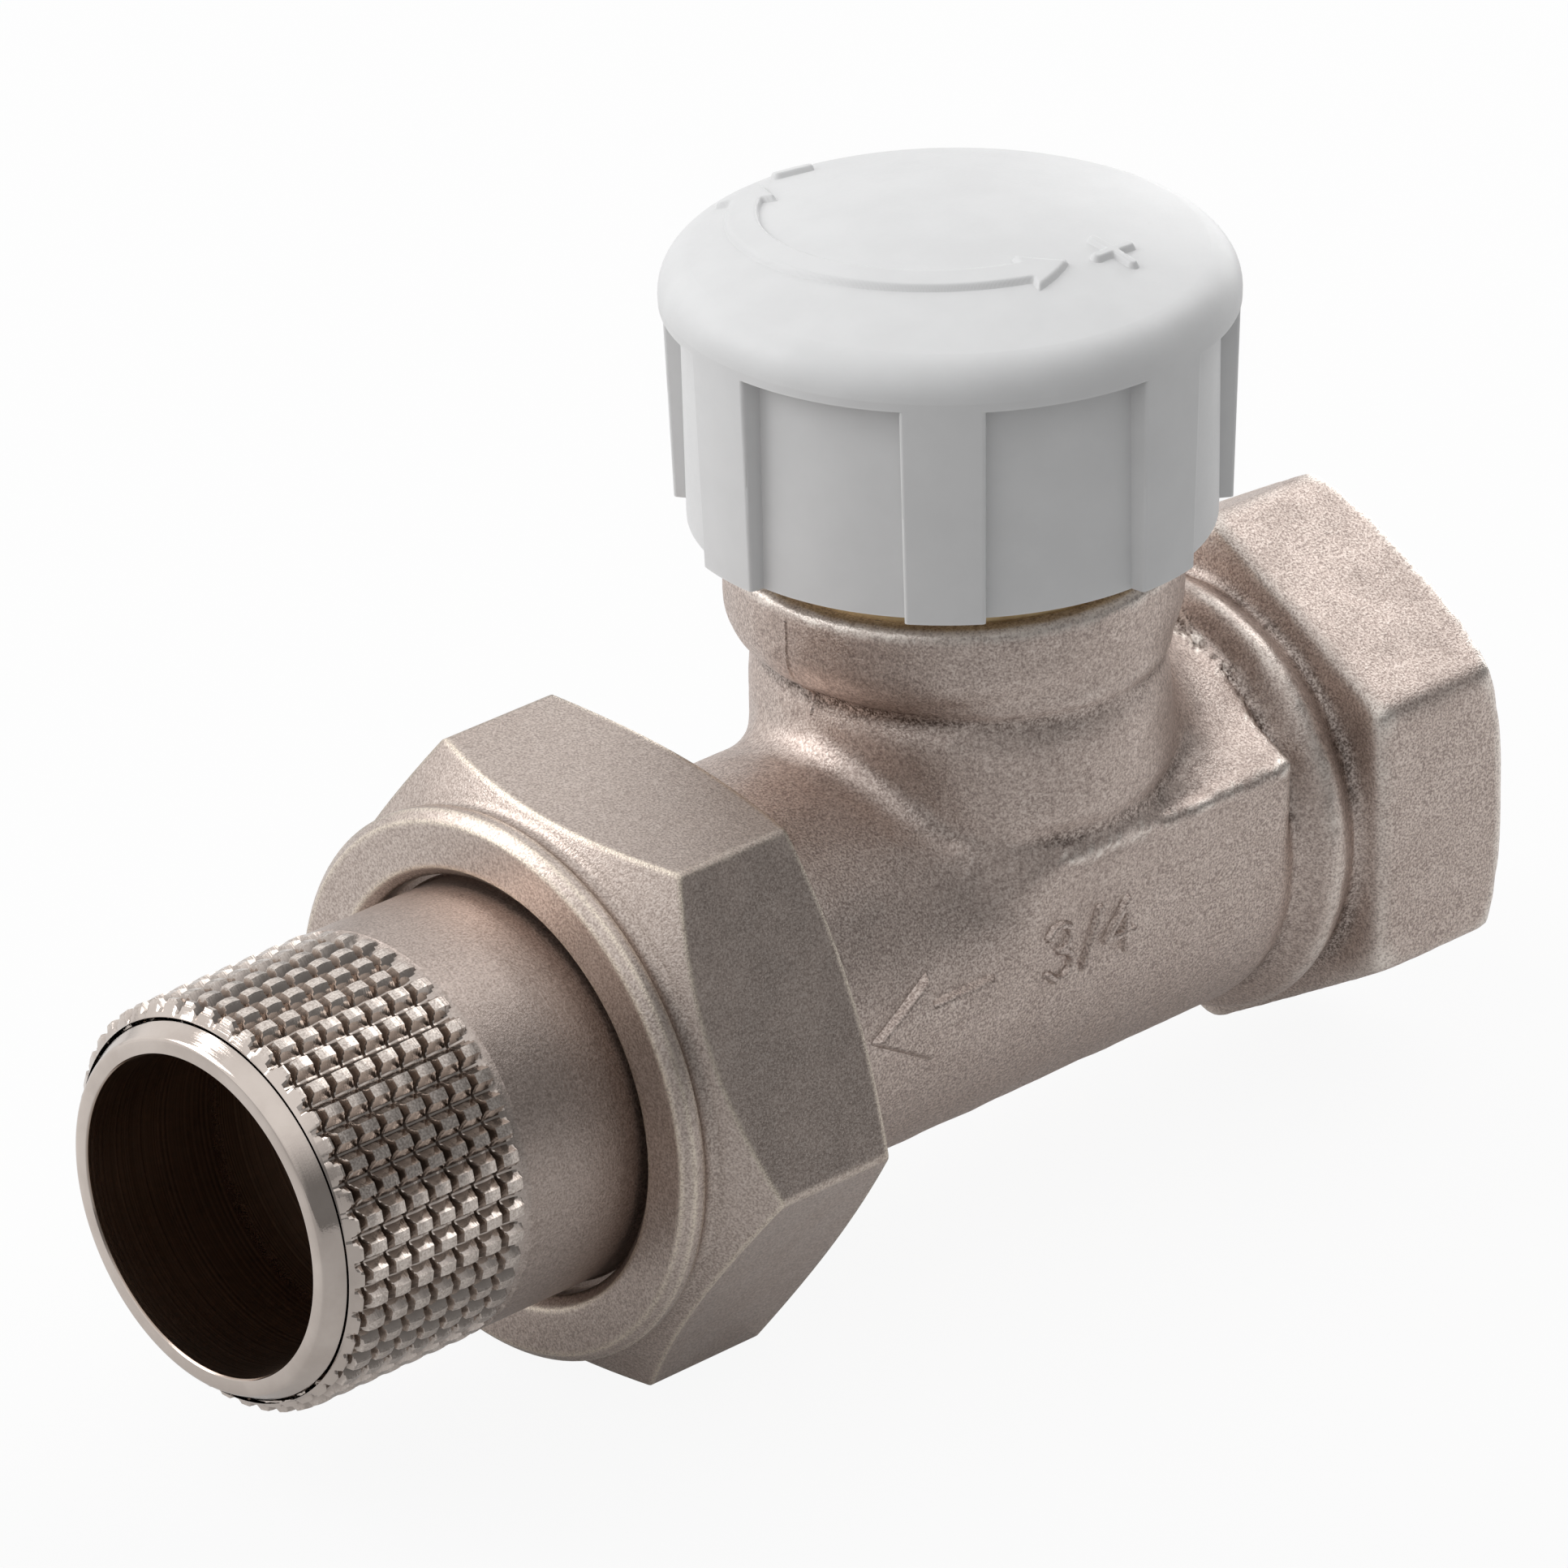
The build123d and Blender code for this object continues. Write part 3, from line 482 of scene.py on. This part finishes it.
def arrow_shape(u, v, tip, head, wing, shaft, end):
    """How far a point is outside an arrow that points along -u from v = 0."""
    slope = wing / head
    in_head = np.maximum((abs(v) - (u - tip) * slope) / sqrt(1 + slope * slope), u - tip - head)
    in_shaft = np.maximum(np.maximum(abs(v) - shaft, u - end), tip + head / 2 - u)
    return np.minimum(in_head, in_shaft)


def on_side(u, v, rise):
    """Puts a mark on the body's near side, wherever its uneven surface is."""
    in_front, inward = -30 * mm, Vector((0, 1, 0))
    hits = [
        body_surface.ray_cast(Vector((a + stem_x, in_front, b)), inward)[0].y
        for a, b in zip(u.ravel().tolist(), v.ravel().tolist())
    ]
    return np.stack([u + stem_x, np.array(hits).reshape(u.shape) - rise, v], -1)


arrow_tip, arrow_end, arrow_z = -20.3 * mm, -9.9 * mm, 0.75 * mm
arrow_head, arrow_wing, arrow_shaft = 5.0 * mm, 2.85 * mm, 1.0 * mm


def flow_arrow_outline(u, v):
    """The flow arrow, which points to the tail."""
    return arrow_shape(u, v - arrow_z, arrow_tip, arrow_head, arrow_wing, arrow_shaft, arrow_end)


flow_arrow = raised_mark(
    "flow_arrow",
    low=(-20.8 * mm, -2.6 * mm),
    high=(-9.4 * mm, 4.1 * mm),
    step=0.1 * mm,
    distance=flow_arrow_outline,
    lay=on_side,
    height=0.5 * mm,
    draft=0.45 * mm,
    material=forged_nickel,
)

number_three = [  # the strokes' points along the pipe and up, in mm
    (-5.3, 2.7), (-4.9, 3.2), (-4.2, 3.3), (-3.6, 3.0), (-3.45, 2.4), (-3.8, 1.8), (-4.4, 1.55),
    (-3.7, 1.3), (-3.3, 0.7), (-3.4, 0.0), (-4.0, -0.45), (-4.7, -0.45), (-5.3, 0.1),
]
number_bar = [(-2.2, -0.4), (-0.9, 3.3)]
number_four = [(2.1, 0.75), (-0.3, 0.75), (1.45, 3.15), (1.45, -0.35)]
number_width = 0.5 * mm


def number_outline(u, v):
    """The size number, drawn in three strokes."""
    lines = (number_three, number_bar, number_four)
    return np.minimum.reduce([stroke(u, v, np.array(line) * mm, number_width) for line in lines])


size_number = raised_mark(
    "size_number",
    low=(-6.0 * mm, -1.1 * mm),
    high=(2.8 * mm, 4.0 * mm),
    step=0.07 * mm,
    distance=number_outline,
    lay=on_side,
    height=0.38 * mm,
    draft=0.3 * mm,
    material=forged_nickel,
)

flash_low, flash_high, flash_half = 16.0 * mm, 23.0 * mm, 0.12 * mm
neck_front = -14 * mm  # about where the neck faces the tail
flash_heights = np.linspace(flash_low, flash_high, 21)
seam = mesh_points(body_mesh)
seam = seam[(abs(seam[:, 1]) < 0.6 * mm) & (abs(seam[:, 0] - stem_x - neck_front) < 2.3 * mm)]
flash_x = np.array([seam[abs(seam[:, 2] - z) < 0.4 * mm, 0].mean() for z in flash_heights])


def on_neck(u, v, rise):
    """Puts a mark on the neck's side that faces the tail."""
    return np.stack([np.interp(v, flash_heights, flash_x) - rise, u, v], -1)


def flash_outline(u, v):
    """A straight strip."""
    return abs(u) - flash_half


flash_line = raised_mark(
    "flash_line",
    low=(-0.5 * mm, flash_low),
    high=(0.5 * mm, flash_high),
    step=0.08 * mm,
    distance=flash_outline,
    lay=on_neck,
    height=0.13 * mm,
    draft=0.4 * mm,
    material=forged_nickel,
)
for mark in (flow_arrow, size_number, flash_line):
    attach(mark, "root")

# Bonnet, gland nut and the disc's holder and nut: turned from brass bar and left bright,
# with the tool's fine rings on them and a little tarnish in the corners.
turned_rings, given, made = effect("turned rings", {"Rings": 9000, "Wobble": 0.1}, ["Ring", "Tarnish"])
place = wire(turned_rings, "TexCoord").outputs["Object"]
split = wire(turned_rings, "SeparateXYZ", links={0: place})
along_stem = wire(turned_rings, "CombineXYZ", {0: 0.0, 1: 0.0}, {2: split.outputs["Z"]})
cuts = noise_over(turned_rings, along_stem.outputs[0], given["Rings"], 2, 0.5)
stains = wire(turned_rings, "TexNoise", {"Scale": 350, "Detail": 4, "Roughness": 0.6}, {"Vector": place})
shake = sums(turned_rings, "MULTIPLY", stains.outputs[0], given["Wobble"])
turned_rings.links.new(sums(turned_rings, "ADD", cuts, shake), made["Ring"])
turned_rings.links.new(between(turned_rings, stains.outputs[0], 0.45, 0.75), made["Tarnish"])


def dress(names, material):
    """Gives CAD nodes their finish."""
    for name in names:
        node[name].data.materials.clear()
        node[name].data.materials.append(material)


turned_brass, tree, shader = finish_of("turned brass")
rings = use(tree, turned_rings, Rings=9000, Wobble=0.1)
edge_hollow_masks = use(tree, edges_and_hollows, Width=0.3 * mm, Gain=8, Reach=1.0 * mm)
bright = over(tree, rings["Tarnish"], (0.58, 0.44, 0.25), (0.40, 0.28, 0.15))
tree.links.new(over(tree, edge_hollow_masks["Hollow"], bright, (0.10, 0.06, 0.03)), shader.inputs["Base Color"])
tree.links.new(between(tree, rings["Ring"], 0.3, 0.8, 0.22, 0.4), shader.inputs["Roughness"])
bumped(tree, shader, rings["Ring"], 0.006 * mm)
shader.inputs["Metallic"].default_value = 1.0
dress(["bonnet", "gland_nut", "disc_holder", "disc_nut"], turned_brass)

# Stem, pin, clip, spring cap and washers: stainless steel. The stem and the pin are turned and ground,
# which leaves fine scratches round them, and the clip and the washers are punched from sheet.
ground_steel, tree, shader = finish_of("ground steel")
rings = use(tree, turned_rings, Rings=14000, Wobble=0.05)
steel = over(tree, rings["Tarnish"], (0.62, 0.62, 0.63), (0.50, 0.49, 0.48))
tree.links.new(steel, shader.inputs["Base Color"])
tree.links.new(between(tree, rings["Ring"], 0.3, 0.8, 0.18, 0.34), shader.inputs["Roughness"])
bumped(tree, shader, rings["Ring"], 0.003 * mm)
shader.inputs["Metallic"].default_value = 1.0
steel_pieces = ["valve_stem", "actuating_pin", "stem_clip", "spring_cap", "gland_washer", "disc_washer"]
dress(steel_pieces, ground_steel)

# Return spring: drawn spring wire, coiled cold and left dark.
spring_wire, tree, shader = finish_of("spring wire")
skin = use(tree, blasted_skin, Grains=2600, Coarse=0.2)
dark_wire = over(tree, skin["Cloud"], (0.30, 0.30, 0.31), (0.44, 0.44, 0.45))
tree.links.new(dark_wire, shader.inputs["Base Color"])
tree.links.new(between(tree, skin["Speckle"], 0.0, 1.0, 0.28, 0.42), shader.inputs["Roughness"])
shader.inputs["Metallic"].default_value = 1.0
pressed_spring = placed("pressed_spring", node["return_spring"].data.copy())
pressed_spring.data.materials.clear()
pressed_spring.data.materials.append(spring_wire)
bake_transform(pressed_spring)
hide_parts("return_spring")

# Seals and seat disc: moulded black rubber, matt, with a light bloom. The rings lie in turned grooves,
# and the disc is held in its holder by a washer and a nut.
black_rubber, tree, shader = finish_of("black rubber")
skin = use(tree, blasted_skin, Grains=2400, Coarse=0.6)
bloom = over(tree, skin["Cloud"], (0.018, 0.018, 0.018), (0.045, 0.044, 0.042))
tree.links.new(bloom, shader.inputs["Base Color"])
tree.links.new(between(tree, skin["Speckle"], 0.0, 1.0, 0.6, 0.8), shader.inputs["Roughness"])
bumped(tree, shader, skin["Height"], 0.01 * mm)
dress(["bonnet_seal", "lower_stem_seal", "upper_stem_seal", "seat_disc", "tail_seal"], black_rubber)

# Stem guide and seal spacer: turned from white bearing plastic, with the tool's fine rings on them.
# The guide sits in the bonnet's floor, and the spacer lies between the two stem seals.
bearing_plastic, tree, shader = finish_of("bearing plastic")
rings = use(tree, turned_rings, Rings=6000, Wobble=0.2)
plain_white = over(tree, rings["Tarnish"], (0.82, 0.80, 0.74), (0.76, 0.73, 0.66))
tree.links.new(plain_white, shader.inputs["Base Color"])
tree.links.new(between(tree, rings["Ring"], 0.3, 0.8, 0.42, 0.6), shader.inputs["Roughness"])
dress(["stem_guide", "seal_spacer"], bearing_plastic)

# Tail: turned brass tube with a 3/4 inch pipe thread. The thread's crests are cut across into teeth, which
# hold the hemp that seals it. Nose and thread stay bright from the tool, the shank is blasted, and all is
# nickel plated.
lathe_rings, given, made = effect("lathe rings", {"Rings": 5000}, ["Ring"])
split = wire(lathe_rings, "SeparateXYZ", links={0: wire(lathe_rings, "TexCoord").outputs["Object"]})
along_pipe = wire(lathe_rings, "CombineXYZ", links={0: split.outputs["X"]})
cuts = noise_over(lathe_rings, along_pipe.outputs[0], given["Rings"], 3, 0.6)
lathe_rings.links.new(between(lathe_rings, cuts, 0.25, 0.75), made["Ring"])

thread_pitch = 1.814 * mm
thread_crest = 13.22 * mm
thread_root = 12.3 * mm
thread_start = -62.3 * mm
thread_stop = -48.3 * mm
nose_neck_r = 12.1 * mm
shank_r = 13.1 * mm
teeth = 47
tooth_depth = 0.68 * mm
bore_r = 10.27 * mm
nose_outline = [  # x and radius in mm, from the spigot's end through the bore and round the nose
    (-31.2, 10.27), (-36.0, 10.27), (-42.0, 10.27), (-48.0, 10.27), (-54.0, 10.27), (-58.0, 10.27),
    (-61.0, 10.27), (-62.9, 10.27), (-63.35, 10.32), (-63.48, 10.42), (-63.5, 10.56), (-63.5, 10.9),
    (-63.5, 11.2), (-63.47, 11.32), (-63.4, 11.42), (-63.28, 11.5), (-63.1, 11.6), (-62.7, 11.85),
    (-62.3, 12.1),
]
shank_outline = [  # from the thread's end over the collar and the seal's groove to the spigot's end
    (-48.3, 13.1), (-46.0, 13.1), (-43.0, 13.1), (-40.0, 13.1), (-38.3, 13.1), (-37.95, 13.15),
    (-37.8, 13.3), (-37.8, 14.7), (-37.5, 15.0), (-36.2, 15.0), (-35.9, 14.7), (-35.9, 12.9),
    (-34.4, 12.9), (-34.4, 11.6), (-32.8, 11.6), (-32.8, 12.9), (-31.5, 12.9), (-31.2, 12.6),
    (-31.2, 10.27),
]
tooth_places = np.array([0.0, 0.1, 0.2, 0.29, 0.38, 0.46, 0.54, 0.62, 0.71, 0.8, 0.9])
ridge_places = np.array([0.0, 0.15, 0.26, 0.33, 0.38, 0.43, 0.475, 0.525, 0.57, 0.62, 0.67, 0.74, 0.85])
columns = teeth * len(tooth_places)
turn_share = (np.repeat(np.arange(teeth), len(tooth_places)) + np.tile(tooth_places, teeth)) / teeth
angle = turn_share * 2 * pi


def thread_radius(x, ridge, tooth):
    """The thread's radius at a place along the tail, across a ridge and across a tooth."""
    root_half, flank_run = 0.475, 0.145  # shares of the pitch, from the crest's middle
    crown_drop, crown_half = 0.07 * mm, 0.28
    notch_half, notch_run = 0.3, 0.26  # shares of a tooth
    start_run, root_runout, crest_runout = 0.7 * mm, 1.7 * mm, 0.8 * mm
    from_crest = np.minimum(ridge, 1 - ridge)
    flank = np.clip((root_half - from_crest) / flank_run, 0, 1)
    crown = crown_drop * np.clip(from_crest / crown_half, 0, 1) ** 2
    r = thread_root + (thread_crest - crown - thread_root) * flank
    notch = np.clip((notch_half - abs(tooth - 0.5)) / notch_run, 0, 1)
    r = np.minimum(r, thread_crest - crown - tooth_depth * notch)
    into, out_of = x - thread_start, thread_stop - x
    r = np.minimum(r, nose_neck_r + (thread_crest - nose_neck_r) * np.clip(into / start_run, 0, 1))
    r = np.maximum(r, shank_r - (shank_r - thread_root) * np.clip(out_of / root_runout, 0, 1))
    return np.minimum(r, shank_r + (thread_crest - shank_r) * np.clip(out_of / crest_runout, 0, 1))


turns = int(np.ceil((thread_stop - thread_start) / thread_pitch)) + 1
row_share = (np.repeat(np.arange(-1, turns), len(ridge_places)) + np.tile(ridge_places, turns + 1))[:, None]
thread_x = thread_start + (row_share + turn_share[None, :]) * thread_pitch
held_x = np.clip(thread_x, thread_start, thread_stop)
ridge_share = np.mod((held_x - thread_start) / thread_pitch - turn_share[None, :], 1.0)
tooth_share = np.mod(turn_share * teeth, 1.0)[None, :]
thread_r = thread_radius(held_x, ridge_share, tooth_share)


def ring_rows(outline):
    """The rows of points that turn an outline round the pipe's axis."""
    x, r = np.array(outline).T * mm
    return np.repeat(x[:, None], columns, 1), np.repeat(r[:, None], columns, 1)


tail_points, tail_faces, first = [], [], 0
stretches = [  # a helix is one pitch, or its own rows, further on after each turn
    (*ring_rows(nose_outline), 0),
    (held_x, thread_r, len(ridge_places)),
    (*ring_rows(shank_outline), 0),
]
for x, r, helix_rows in stretches:
    grid = np.arange(x.size).reshape(x.shape) + first
    tail_points.append(np.stack([x + stem_x, -r * np.cos(angle), r * np.sin(angle)], -1).reshape(-1, 3))
    for column in range(columns):
        after = (column + 1) % columns
        here, there = grid[:, column], grid[:, after]
        if after == 0 and helix_rows:
            here, there = here[:-helix_rows], there[helix_rows:]
        tail_faces.append(np.stack([here[:-1], here[1:], there[1:], there[:-1]], 1))
    first += x.size
mesh = bpy.data.meshes.new("serrated_tail")
mesh.from_pydata(np.concatenate(tail_points).tolist(), [], np.concatenate(tail_faces).tolist())
shaped = bmesh.new()
shaped.from_mesh(mesh)
bmesh.ops.remove_doubles(shaped, verts=shaped.verts, dist=0.002 * mm)
bmesh.ops.dissolve_degenerate(shaped, edges=shaped.edges, dist=0.001 * mm)
bmesh.ops.recalc_face_normals(shaped, faces=shaped.faces)
shaped.to_mesh(mesh)
shaped.free()
mesh.shade_smooth()
mesh.set_sharp_from_angle(angle=radians(24))
serrated_tail = placed("serrated_tail", mesh)
spots = mesh_points(mesh)
spot_x = spots[:, 0] - stem_x
spot_r = np.hypot(spots[:, 1], spots[:, 2])
machined = np.clip((thread_stop - spot_x) / (0.9 * mm), 0, 1)
crest = machined * (spot_x > thread_start) * ramp(spot_r, 13.0 * mm, 13.15 * mm)
in_bore = (spot_r < bore_r + 0.1 * mm).astype(float)
add_layers(mesh, {"machined": machined, "crest": crest, "bore": in_bore})

tail_nickel, tree, shader = finish_of("tail nickel")
skin = use(tree, blasted_skin, Grains=6800, Coarse=0.35)
lathe = use(tree, lathe_rings, Rings=5200)
edge_hollow_masks = use(tree, edges_and_hollows, Width=0.2 * mm, Gain=6, Reach=1.0 * mm)
cut, top, inside = layers(tree, ("machined", "crest", "bore"))
blasted = over(tree, skin["Speckle"], (0.35, 0.285, 0.25), (0.64, 0.545, 0.495))
plated = over(tree, skin["Cloud"], (0.60, 0.525, 0.475), (0.70, 0.62, 0.565))
topped = over(tree, top, plated, over(tree, skin["Speckle"], (0.50, 0.43, 0.385), (0.92, 0.83, 0.76)))
metal = over(tree, cut, blasted, topped)
# Painted shade: the hollows are darkened in colour.
hollow_shaded = over(tree, sums(tree, "MULTIPLY", edge_hollow_masks["Hollow"], 0.5), metal, (0.05, 0.035, 0.028))
stained = over(tree, lathe["Ring"], (0.26, 0.18, 0.135), (0.66, 0.52, 0.42))
tree.links.new(over(tree, inside, hollow_shaded, stained), shader.inputs["Base Color"])
shine = wire(tree, "Mix", {2: 0.36, 3: 0.05}, {0: cut}, data_type="FLOAT").outputs[0]
for mask, duller in ((skin["Speckle"], 0.06), (top, 0.12), (inside, 0.16)):
    shine = sums(tree, "ADD", shine, sums(tree, "MULTIPLY", mask, duller))
tree.links.new(shine, shader.inputs["Roughness"])
blast = sums(tree, "MULTIPLY", skin["Height"], between(tree, cut, 0.0, 1.0, 1.0, 0.12))
grain = wire(tree, "Bump", {"Strength": 1.0, "Distance": 0.034 * mm}, {"Height": blast})
cuts = bumped(tree, shader, lathe["Ring"], 0.01 * mm, strength=0.6)
tree.links.new(grain.outputs[0], cuts.inputs["Normal"])
shader.inputs["Metallic"].default_value = 1.0
mesh.materials.append(tail_nickel)
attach(serrated_tail, "tail")
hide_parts("tailpiece")

# Union nut: hexagon brass, blasted and nickel plated like the body. Its flats are finer, and its corners
# and front bevels are rubbed down to a pale gold. It pulls the tail's collar against the body.
nut_nickel = nickel(
    "nut nickel",
    grains=7000,
    coarse=0.25,
    tones=((0.39, 0.32, 0.285), (0.56, 0.47, 0.42), (0.70, 0.61, 0.555)),
    rubbed=(0.95, 0.84, 0.70),
    roughness=0.33,
    grain_depth=0.03 * mm,
)
dress(["union_nut"], nut_nickel)

# Hand cap: moulded in light grey plastic with a fine satin texture, and screwed on the bonnet. The minus,
# the plus and the curved arrow on its dome are part of the moulding.
cap_plastic, tree, shader = finish_of("cap plastic")
skin = use(tree, blasted_skin, Grains=5200, Coarse=0.2)
edge_hollow_masks = use(tree, edges_and_hollows, Width=0.3 * mm, Gain=5, Reach=1.5 * mm)
grey = over(tree, skin["Cloud"], (0.70, 0.702, 0.705), (0.73, 0.732, 0.735))
# Painted shade: the cap's hollows are darkened to grey.
hollow_shaded_grey = over(tree, sums(tree, "MULTIPLY", edge_hollow_masks["Hollow"], 0.25), grey, (0.50, 0.50, 0.50))
# Painted highlight: the cap's convex edges are made lighter in colour.
edge_highlighted = over(tree, sums(tree, "MULTIPLY", edge_hollow_masks["Edge"], 0.5), hollow_shaded_grey, (0.84, 0.84, 0.84))
tree.links.new(edge_highlighted, shader.inputs["Base Color"])
tree.links.new(between(tree, skin["Speckle"], 0.0, 1.0, 0.40, 0.52), shader.inputs["Roughness"])
bumped(tree, shader, skin["Height"], 0.006 * mm, strength=0.5)
shader.inputs["Subsurface Weight"].default_value = 0.06
shader.inputs["Subsurface Radius"].default_value = (0.4 * mm, 0.4 * mm, 0.4 * mm)
dress(["hand_cap"], cap_plastic)

dome_top = 45.6 * mm
dome_r = 65.02 * mm
mark_height, mark_draft = 0.38 * mm, 0.3 * mm
plus_arms, plus_width = [[(4.7, -7.95), (4.6, -11.35)], [(3.2, -9.7), (6.15, -9.5)]], 0.72 * mm
minus_line, minus_width = [(0.2, 15.65), (2.1, 14.95)], 0.85 * mm


def on_dome(u, v, rise):
    """Puts a mark on the cap's dome."""
    level = dome_top - dome_r + np.sqrt(dome_r**2 - u * u - v * v)
    return np.stack([u + stem_x, v, level + rise], -1)


def turn_arrow_outline(u, v):
    """A curved arrow with a head at each end, round a centre beside the dome's."""
    bow_r, bow_east, bow_north = 12.32 * mm, 2.2 * mm, 3.1 * mm
    bow_middle, bow_half = radians(187.5), radians(63.5)
    head, wing, shaft, overlap = 3.1 * mm, 1.98 * mm, 1.02 * mm, 0.5 * mm
    east, north = u - bow_east, v - bow_north
    across = np.hypot(east, north) - bow_r
    along = (np.mod(np.arctan2(north, east), 2 * pi) - bow_middle) * bow_r
    return arrow_shape(-abs(along), across, -bow_half * bow_r - head, head, wing, shaft, overlap)


def plus_outline(u, v):
    """The plus, drawn in two strokes."""
    return np.minimum.reduce([stroke(u, v, np.array(arm) * mm, plus_width) for arm in plus_arms])


def minus_outline(u, v):
    """The minus, drawn in one stroke."""
    return stroke(u, v, np.array(minus_line) * mm, minus_width)


cap_marks = [  # each mark's sheet from its low to its high corner, and its step
    ("cap_turn_arrow", turn_arrow_outline, (-13 * mm, -11.5 * mm), (3 * mm, 16 * mm), 0.13 * mm),
    ("cap_plus", plus_outline, (2 * mm, -13 * mm), (7.4 * mm, -6.5 * mm), 0.08 * mm),
    ("cap_minus", minus_outline, (-1 * mm, 13.8 * mm), (3.2 * mm, 16.9 * mm), 0.08 * mm),
]
for name, outline, low, high, step in cap_marks:
    mark = raised_mark(name, low, high, step, outline, on_dome, mark_height, mark_draft, cap_plastic)
    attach(mark, "cap")

# Floor: the white table of a small studio, matt, on which the nut lies. To the eye it is nearly white, and
# the object's soft shadow stays on it. Towards the front its colour is painted darker: painted shade that the
# metal shows in its reflections.
floor_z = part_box("union_nut")[0].z
floor_half = 1.6
floor_signs = [(-1, -1), (1, -1), (1, 1), (-1, 1)]
floor_corners = [(x * floor_half, y * floor_half, floor_z) for x, y in floor_signs]
floor_mesh = bpy.data.meshes.new("floor")
floor_mesh.from_pydata(floor_corners, [], [(0, 1, 2, 3)])
floor = placed("floor", floor_mesh)
white_table, tree, shader = finish_of("white table")
spot = wire(tree, "TexCoord").outputs["Object"]
forward = wire(tree, "VectorMath", {1: (-0.68, -0.73, 0)}, {0: spot}, operation="DOT_PRODUCT")
front_shade = between(tree, forward.outputs["Value"], 0.03, 0.12)
tree.links.new(over(tree, front_shade, (0.74, 0.74, 0.74), (0.42, 0.42, 0.42)), shader.inputs["Base Color"])
shader.inputs["Roughness"].default_value = 0.9
shader.inputs["Specular IOR Level"].default_value = 0.1
white = wire(tree, "Emission", {"Color": (1, 1, 1, 1), "Strength": 1.0})
rays = wire(tree, "LightPath").outputs
seen = sums(tree, "MULTIPLY", rays["Is Camera Ray"], 0.92)
passed_on = sums(tree, "MAXIMUM", rays["Is Glossy Ray"], rays["Is Transmission Ray"])
mirrored = sums(tree, "MULTIPLY", passed_on, 0.1)
whiter = sums(tree, "MAXIMUM", seen, mirrored)
mixed = wire(tree, "MixShader", links={0: whiter, 1: shader.outputs[0], 2: white.outputs[0]})
tree.links.new(mixed.outputs[0], tree.nodes["Material Output"].inputs["Surface"])
floor_mesh.materials.append(white_table)

# Light: a white room, brighter above and behind. A large soft box stands behind at the left, a weak one
# hangs above at the right, and a third stands low at the right.
room = bpy.data.worlds.new("white room")
bpy.context.scene.world = room
room.use_nodes = True
tree = room.node_tree
sky = tree.nodes["Background"]
look = wire(tree, "TexCoord").outputs["Generated"]
toward = wire(tree, "VectorMath", {1: (-0.25, 0.45, 0.86)}, {0: look}, operation="DOT_PRODUCT")
glow = between(tree, toward.outputs["Value"], 0.05, 0.58, 0.21, 0.93)
rays = wire(tree, "LightPath").outputs
level = wire(tree, "Mix", {3: 1.0}, {0: rays["Is Camera Ray"], 2: glow}, data_type="FLOAT")
tree.links.new(level.outputs[0], sky.inputs["Strength"])
sky.inputs["Color"].default_value = (1, 1, 1, 1)


def soft_box(name, spot, size, watts):
    """A rectangular lamp that faces the valve."""
    lamp = bpy.data.lights.new(name, "AREA")
    lamp.shape = "RECTANGLE"
    lamp.size, lamp.size_y = size
    lamp.energy = watts
    box = placed(name, lamp)
    box.location = spot
    aim = Vector((stem_x, 0, 0)) - Vector(spot)
    box.rotation_euler = aim.to_track_quat("-Z", "Y").to_euler()


soft_box("key_box", (-0.42, 0.42, 0.46), (0.42, 0.42), 1.6)
soft_box("top_box", (0.45, 0.02, 0.50), (0.3, 0.3), 0.48)
soft_box("right_box", (0.58, 0.26, 0.08), (0.4, 0.4), 1.6)

# Camera: a long lens at the photograph's angle, turned to the tail's end and looking down on the cap.
# It leans by about one degree, as the photograph does.
azimuth, elevation, roll = radians(-42.957), radians(25.838), radians(-1.128)
aim_at = Vector((-6.864 * mm + stem_x, 8.55 * mm, 6.39 * mm))
far = 727.534 * mm
photo_focal, photo_width = 14186.965, 1932  # in the photograph's pixels
back = Vector((sin(azimuth) * cos(elevation), -cos(azimuth) * cos(elevation), sin(elevation)))
right = Vector((cos(azimuth), sin(azimuth), 0))
up = back.cross(right)
right, up = cos(roll) * right + sin(roll) * up, cos(roll) * up - sin(roll) * right
lens = bpy.data.cameras.new("camera")
lens.sensor_width = 36.0
lens.lens = photo_focal / photo_width * 36.0
lens.clip_start = 0.05
lens.clip_end = 20
camera = placed("camera", lens)
camera.matrix_world = Matrix((right, up, back)).transposed().to_4x4()
camera.location = aim_at + back * far
bpy.context.scene.camera = camera
bpy.context.scene.view_settings.view_transform = "Standard"
